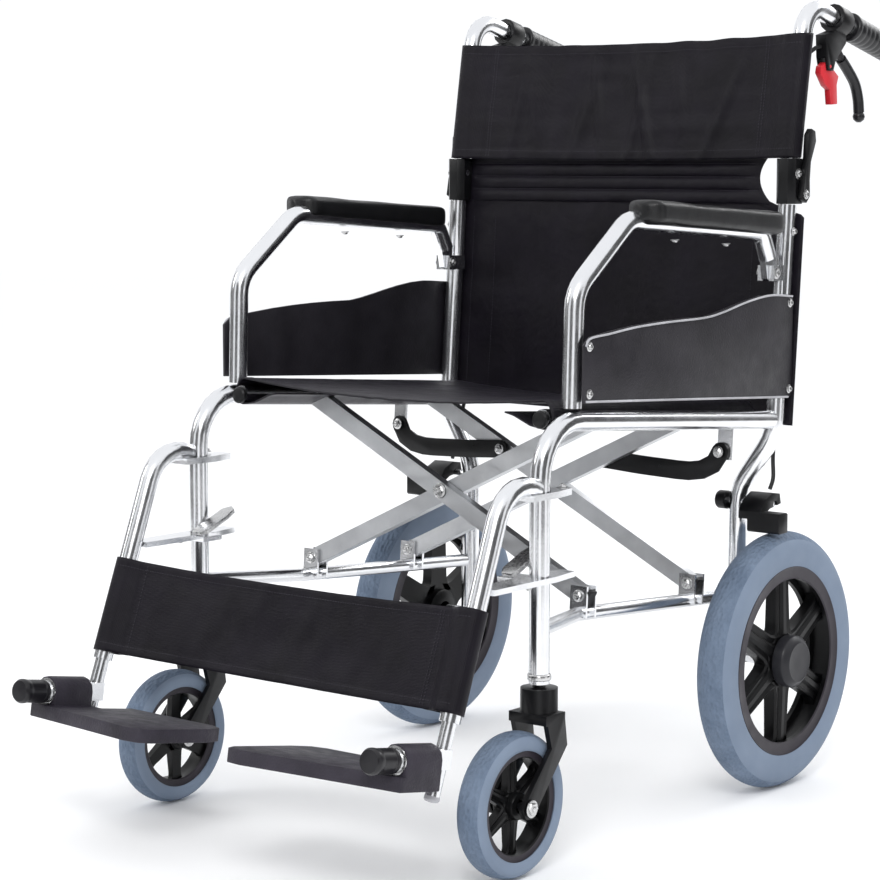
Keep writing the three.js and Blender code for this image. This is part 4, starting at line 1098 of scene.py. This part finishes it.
def build_fittings():
    for name, s in SIDES.items():
        frame_fittings(name, s)
        caster_fittings(name, s)
        hinge_and_brake_fittings(name, s)
        extension_fittings(name, s)
        brace_fittings(name, s)
    up = BRACE_HALF * math.sin(BRACE_ANGLE)
    pins = [(brace(0, -19.5, up), -BRACE_ALONG, 6, HEXED), (brace(0, 211, up), BRACE_ALONG, 6, HEXED)]
    screws("brace_centre_bolts", pins, "brace_a")


def guard_edge(s, knots):
    """The bright edge line along the guard's top or bottom."""
    return smooth_path([P(s * 261.6, y, z) for y, z in knots], 6)


def build_cables():
    """Each brake cable leaves the upper post for the frame, as one fixed tube."""
    knots = [(247, 101.5, 874), (244, 92, 871), (236, 80, 856), (228, 71, 815), (226, 68, 765),
             (226, 61, 724), (226, 54, 690), (230, 48.5, 640), (232, 41.5, 545), (232, 33, 455),
             (236, 28, 418), (238, 23, 388), (242, 17.5, 366), (241, 12, 352.5)]
    for name, s in SIDES.items():
        route = smooth_path([P(s * x, y, z) for x, y, z in knots], 6)
        cable = finish_mesh(f"brake_cable_bent_{name}", *tube_points(route, CABLE_R, 10), "cable", None,
                            hides=[f"brake_cable_{name}"], slot="cable", sharp=50)
        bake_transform(cable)


build_fittings()
build_cables()


# ---- Light, floor and camera ----
def area(name, where, toward, size, power):
    """A rectangular area lamp aimed at a point."""
    data = bpy.data.lights.new(name, "AREA")
    data.shape = "RECTANGLE"
    data.size, data.size_y = size
    data.energy = power
    obj = put(name, data)
    obj.location = where
    obj.rotation_euler = (Vector(toward) - Vector(where)).to_track_quat("-Z", "Y").to_euler()


def card(name, corners):
    """A dark card that only reflections see."""
    mesh = bpy.data.meshes.new(name)
    mesh.from_pydata([Vector(c) for c in corners], [], [(0, 1, 2, 3)])
    obj = put(name, mesh)
    mat = bpy.data.materials.new(name)
    mat.use_nodes = True
    shader = mat.node_tree.nodes["Principled BSDF"]
    shader.inputs["Base Color"].default_value = (0.05, 0.05, 0.05, 1)
    shader.inputs["Roughness"].default_value = 0.9
    mesh.materials.append(mat)
    obj.visible_camera = False
    obj.visible_shadow = False
    obj.visible_diffuse = False


# Dark cards round the chair: start and end of each in degrees, their distance and height in metres
CARD_BANDS = ((-178, -118), (-98, -64), (-40, 0), (22, 62))
CARD_R, CARD_HEIGHT = 3.4, 2.3
FLOOR_R, FLOOR_SIDES, FLOOR_Z = 14, 64, -0.0006


def build_stage():
    """A round floor, a bright world, three lamps and the dark cards."""
    mesh = bpy.data.meshes.new("studio_floor")
    turns = [2 * math.pi * k / FLOOR_SIDES for k in range(FLOOR_SIDES)]
    mesh.from_pydata([(FLOOR_R * math.cos(a), FLOOR_R * math.sin(a), FLOOR_Z) for a in turns], [],
                     [tuple(range(FLOOR_SIDES))])
    mesh.materials.append(M["floor"].m)
    floor = put("studio_floor", mesh)
    world = bpy.data.worlds.new("studio")
    bpy.context.scene.world = world
    world.use_nodes = True
    world.node_tree.nodes["Background"].inputs["Color"].default_value = (0.97, 0.98, 1, 1)
    world.node_tree.nodes["Background"].inputs["Strength"].default_value = 1.05
    bpy.context.scene.view_settings.view_transform = "Standard"
    area("key", (1.6, -2.4, 2.6), (0, 0, 0.5), (1.2, 0.9), 42)
    area("fill", (-2.4, -1.6, 1.5), (0, 0, 0.5), (1.0, 1.6), 18)
    area("rim", (0.4, 2.6, 2.2), (0, 0, 0.6), (2.0, 0.7), 22)
    for i, band in enumerate(CARD_BANDS):
        (x0, y0), (x1, y1) = [(CARD_R * math.cos(math.radians(a)), CARD_R * math.sin(math.radians(a)))
                              for a in band]
        card(f"dark_{i}", [(x0, y0, 0), (x1, y1, 0), (x1, y1, CARD_HEIGHT), (x0, y0, CARD_HEIGHT)])


def build_camera():
    data = bpy.data.cameras.new("camera")
    data.lens = 100.3
    data.sensor_width = 36
    data.clip_end = 60
    cam = put("camera", data)
    where, target = P(1750.1, -2472.6, 739.0), P(-90.3, -200, 406.3)
    cam.location = where
    cam.rotation_euler = (target - where).to_track_quat("-Z", "Y").to_euler()
    bpy.context.scene.camera = cam


build_stage()
build_camera()
bpy.context.view_layer.update()
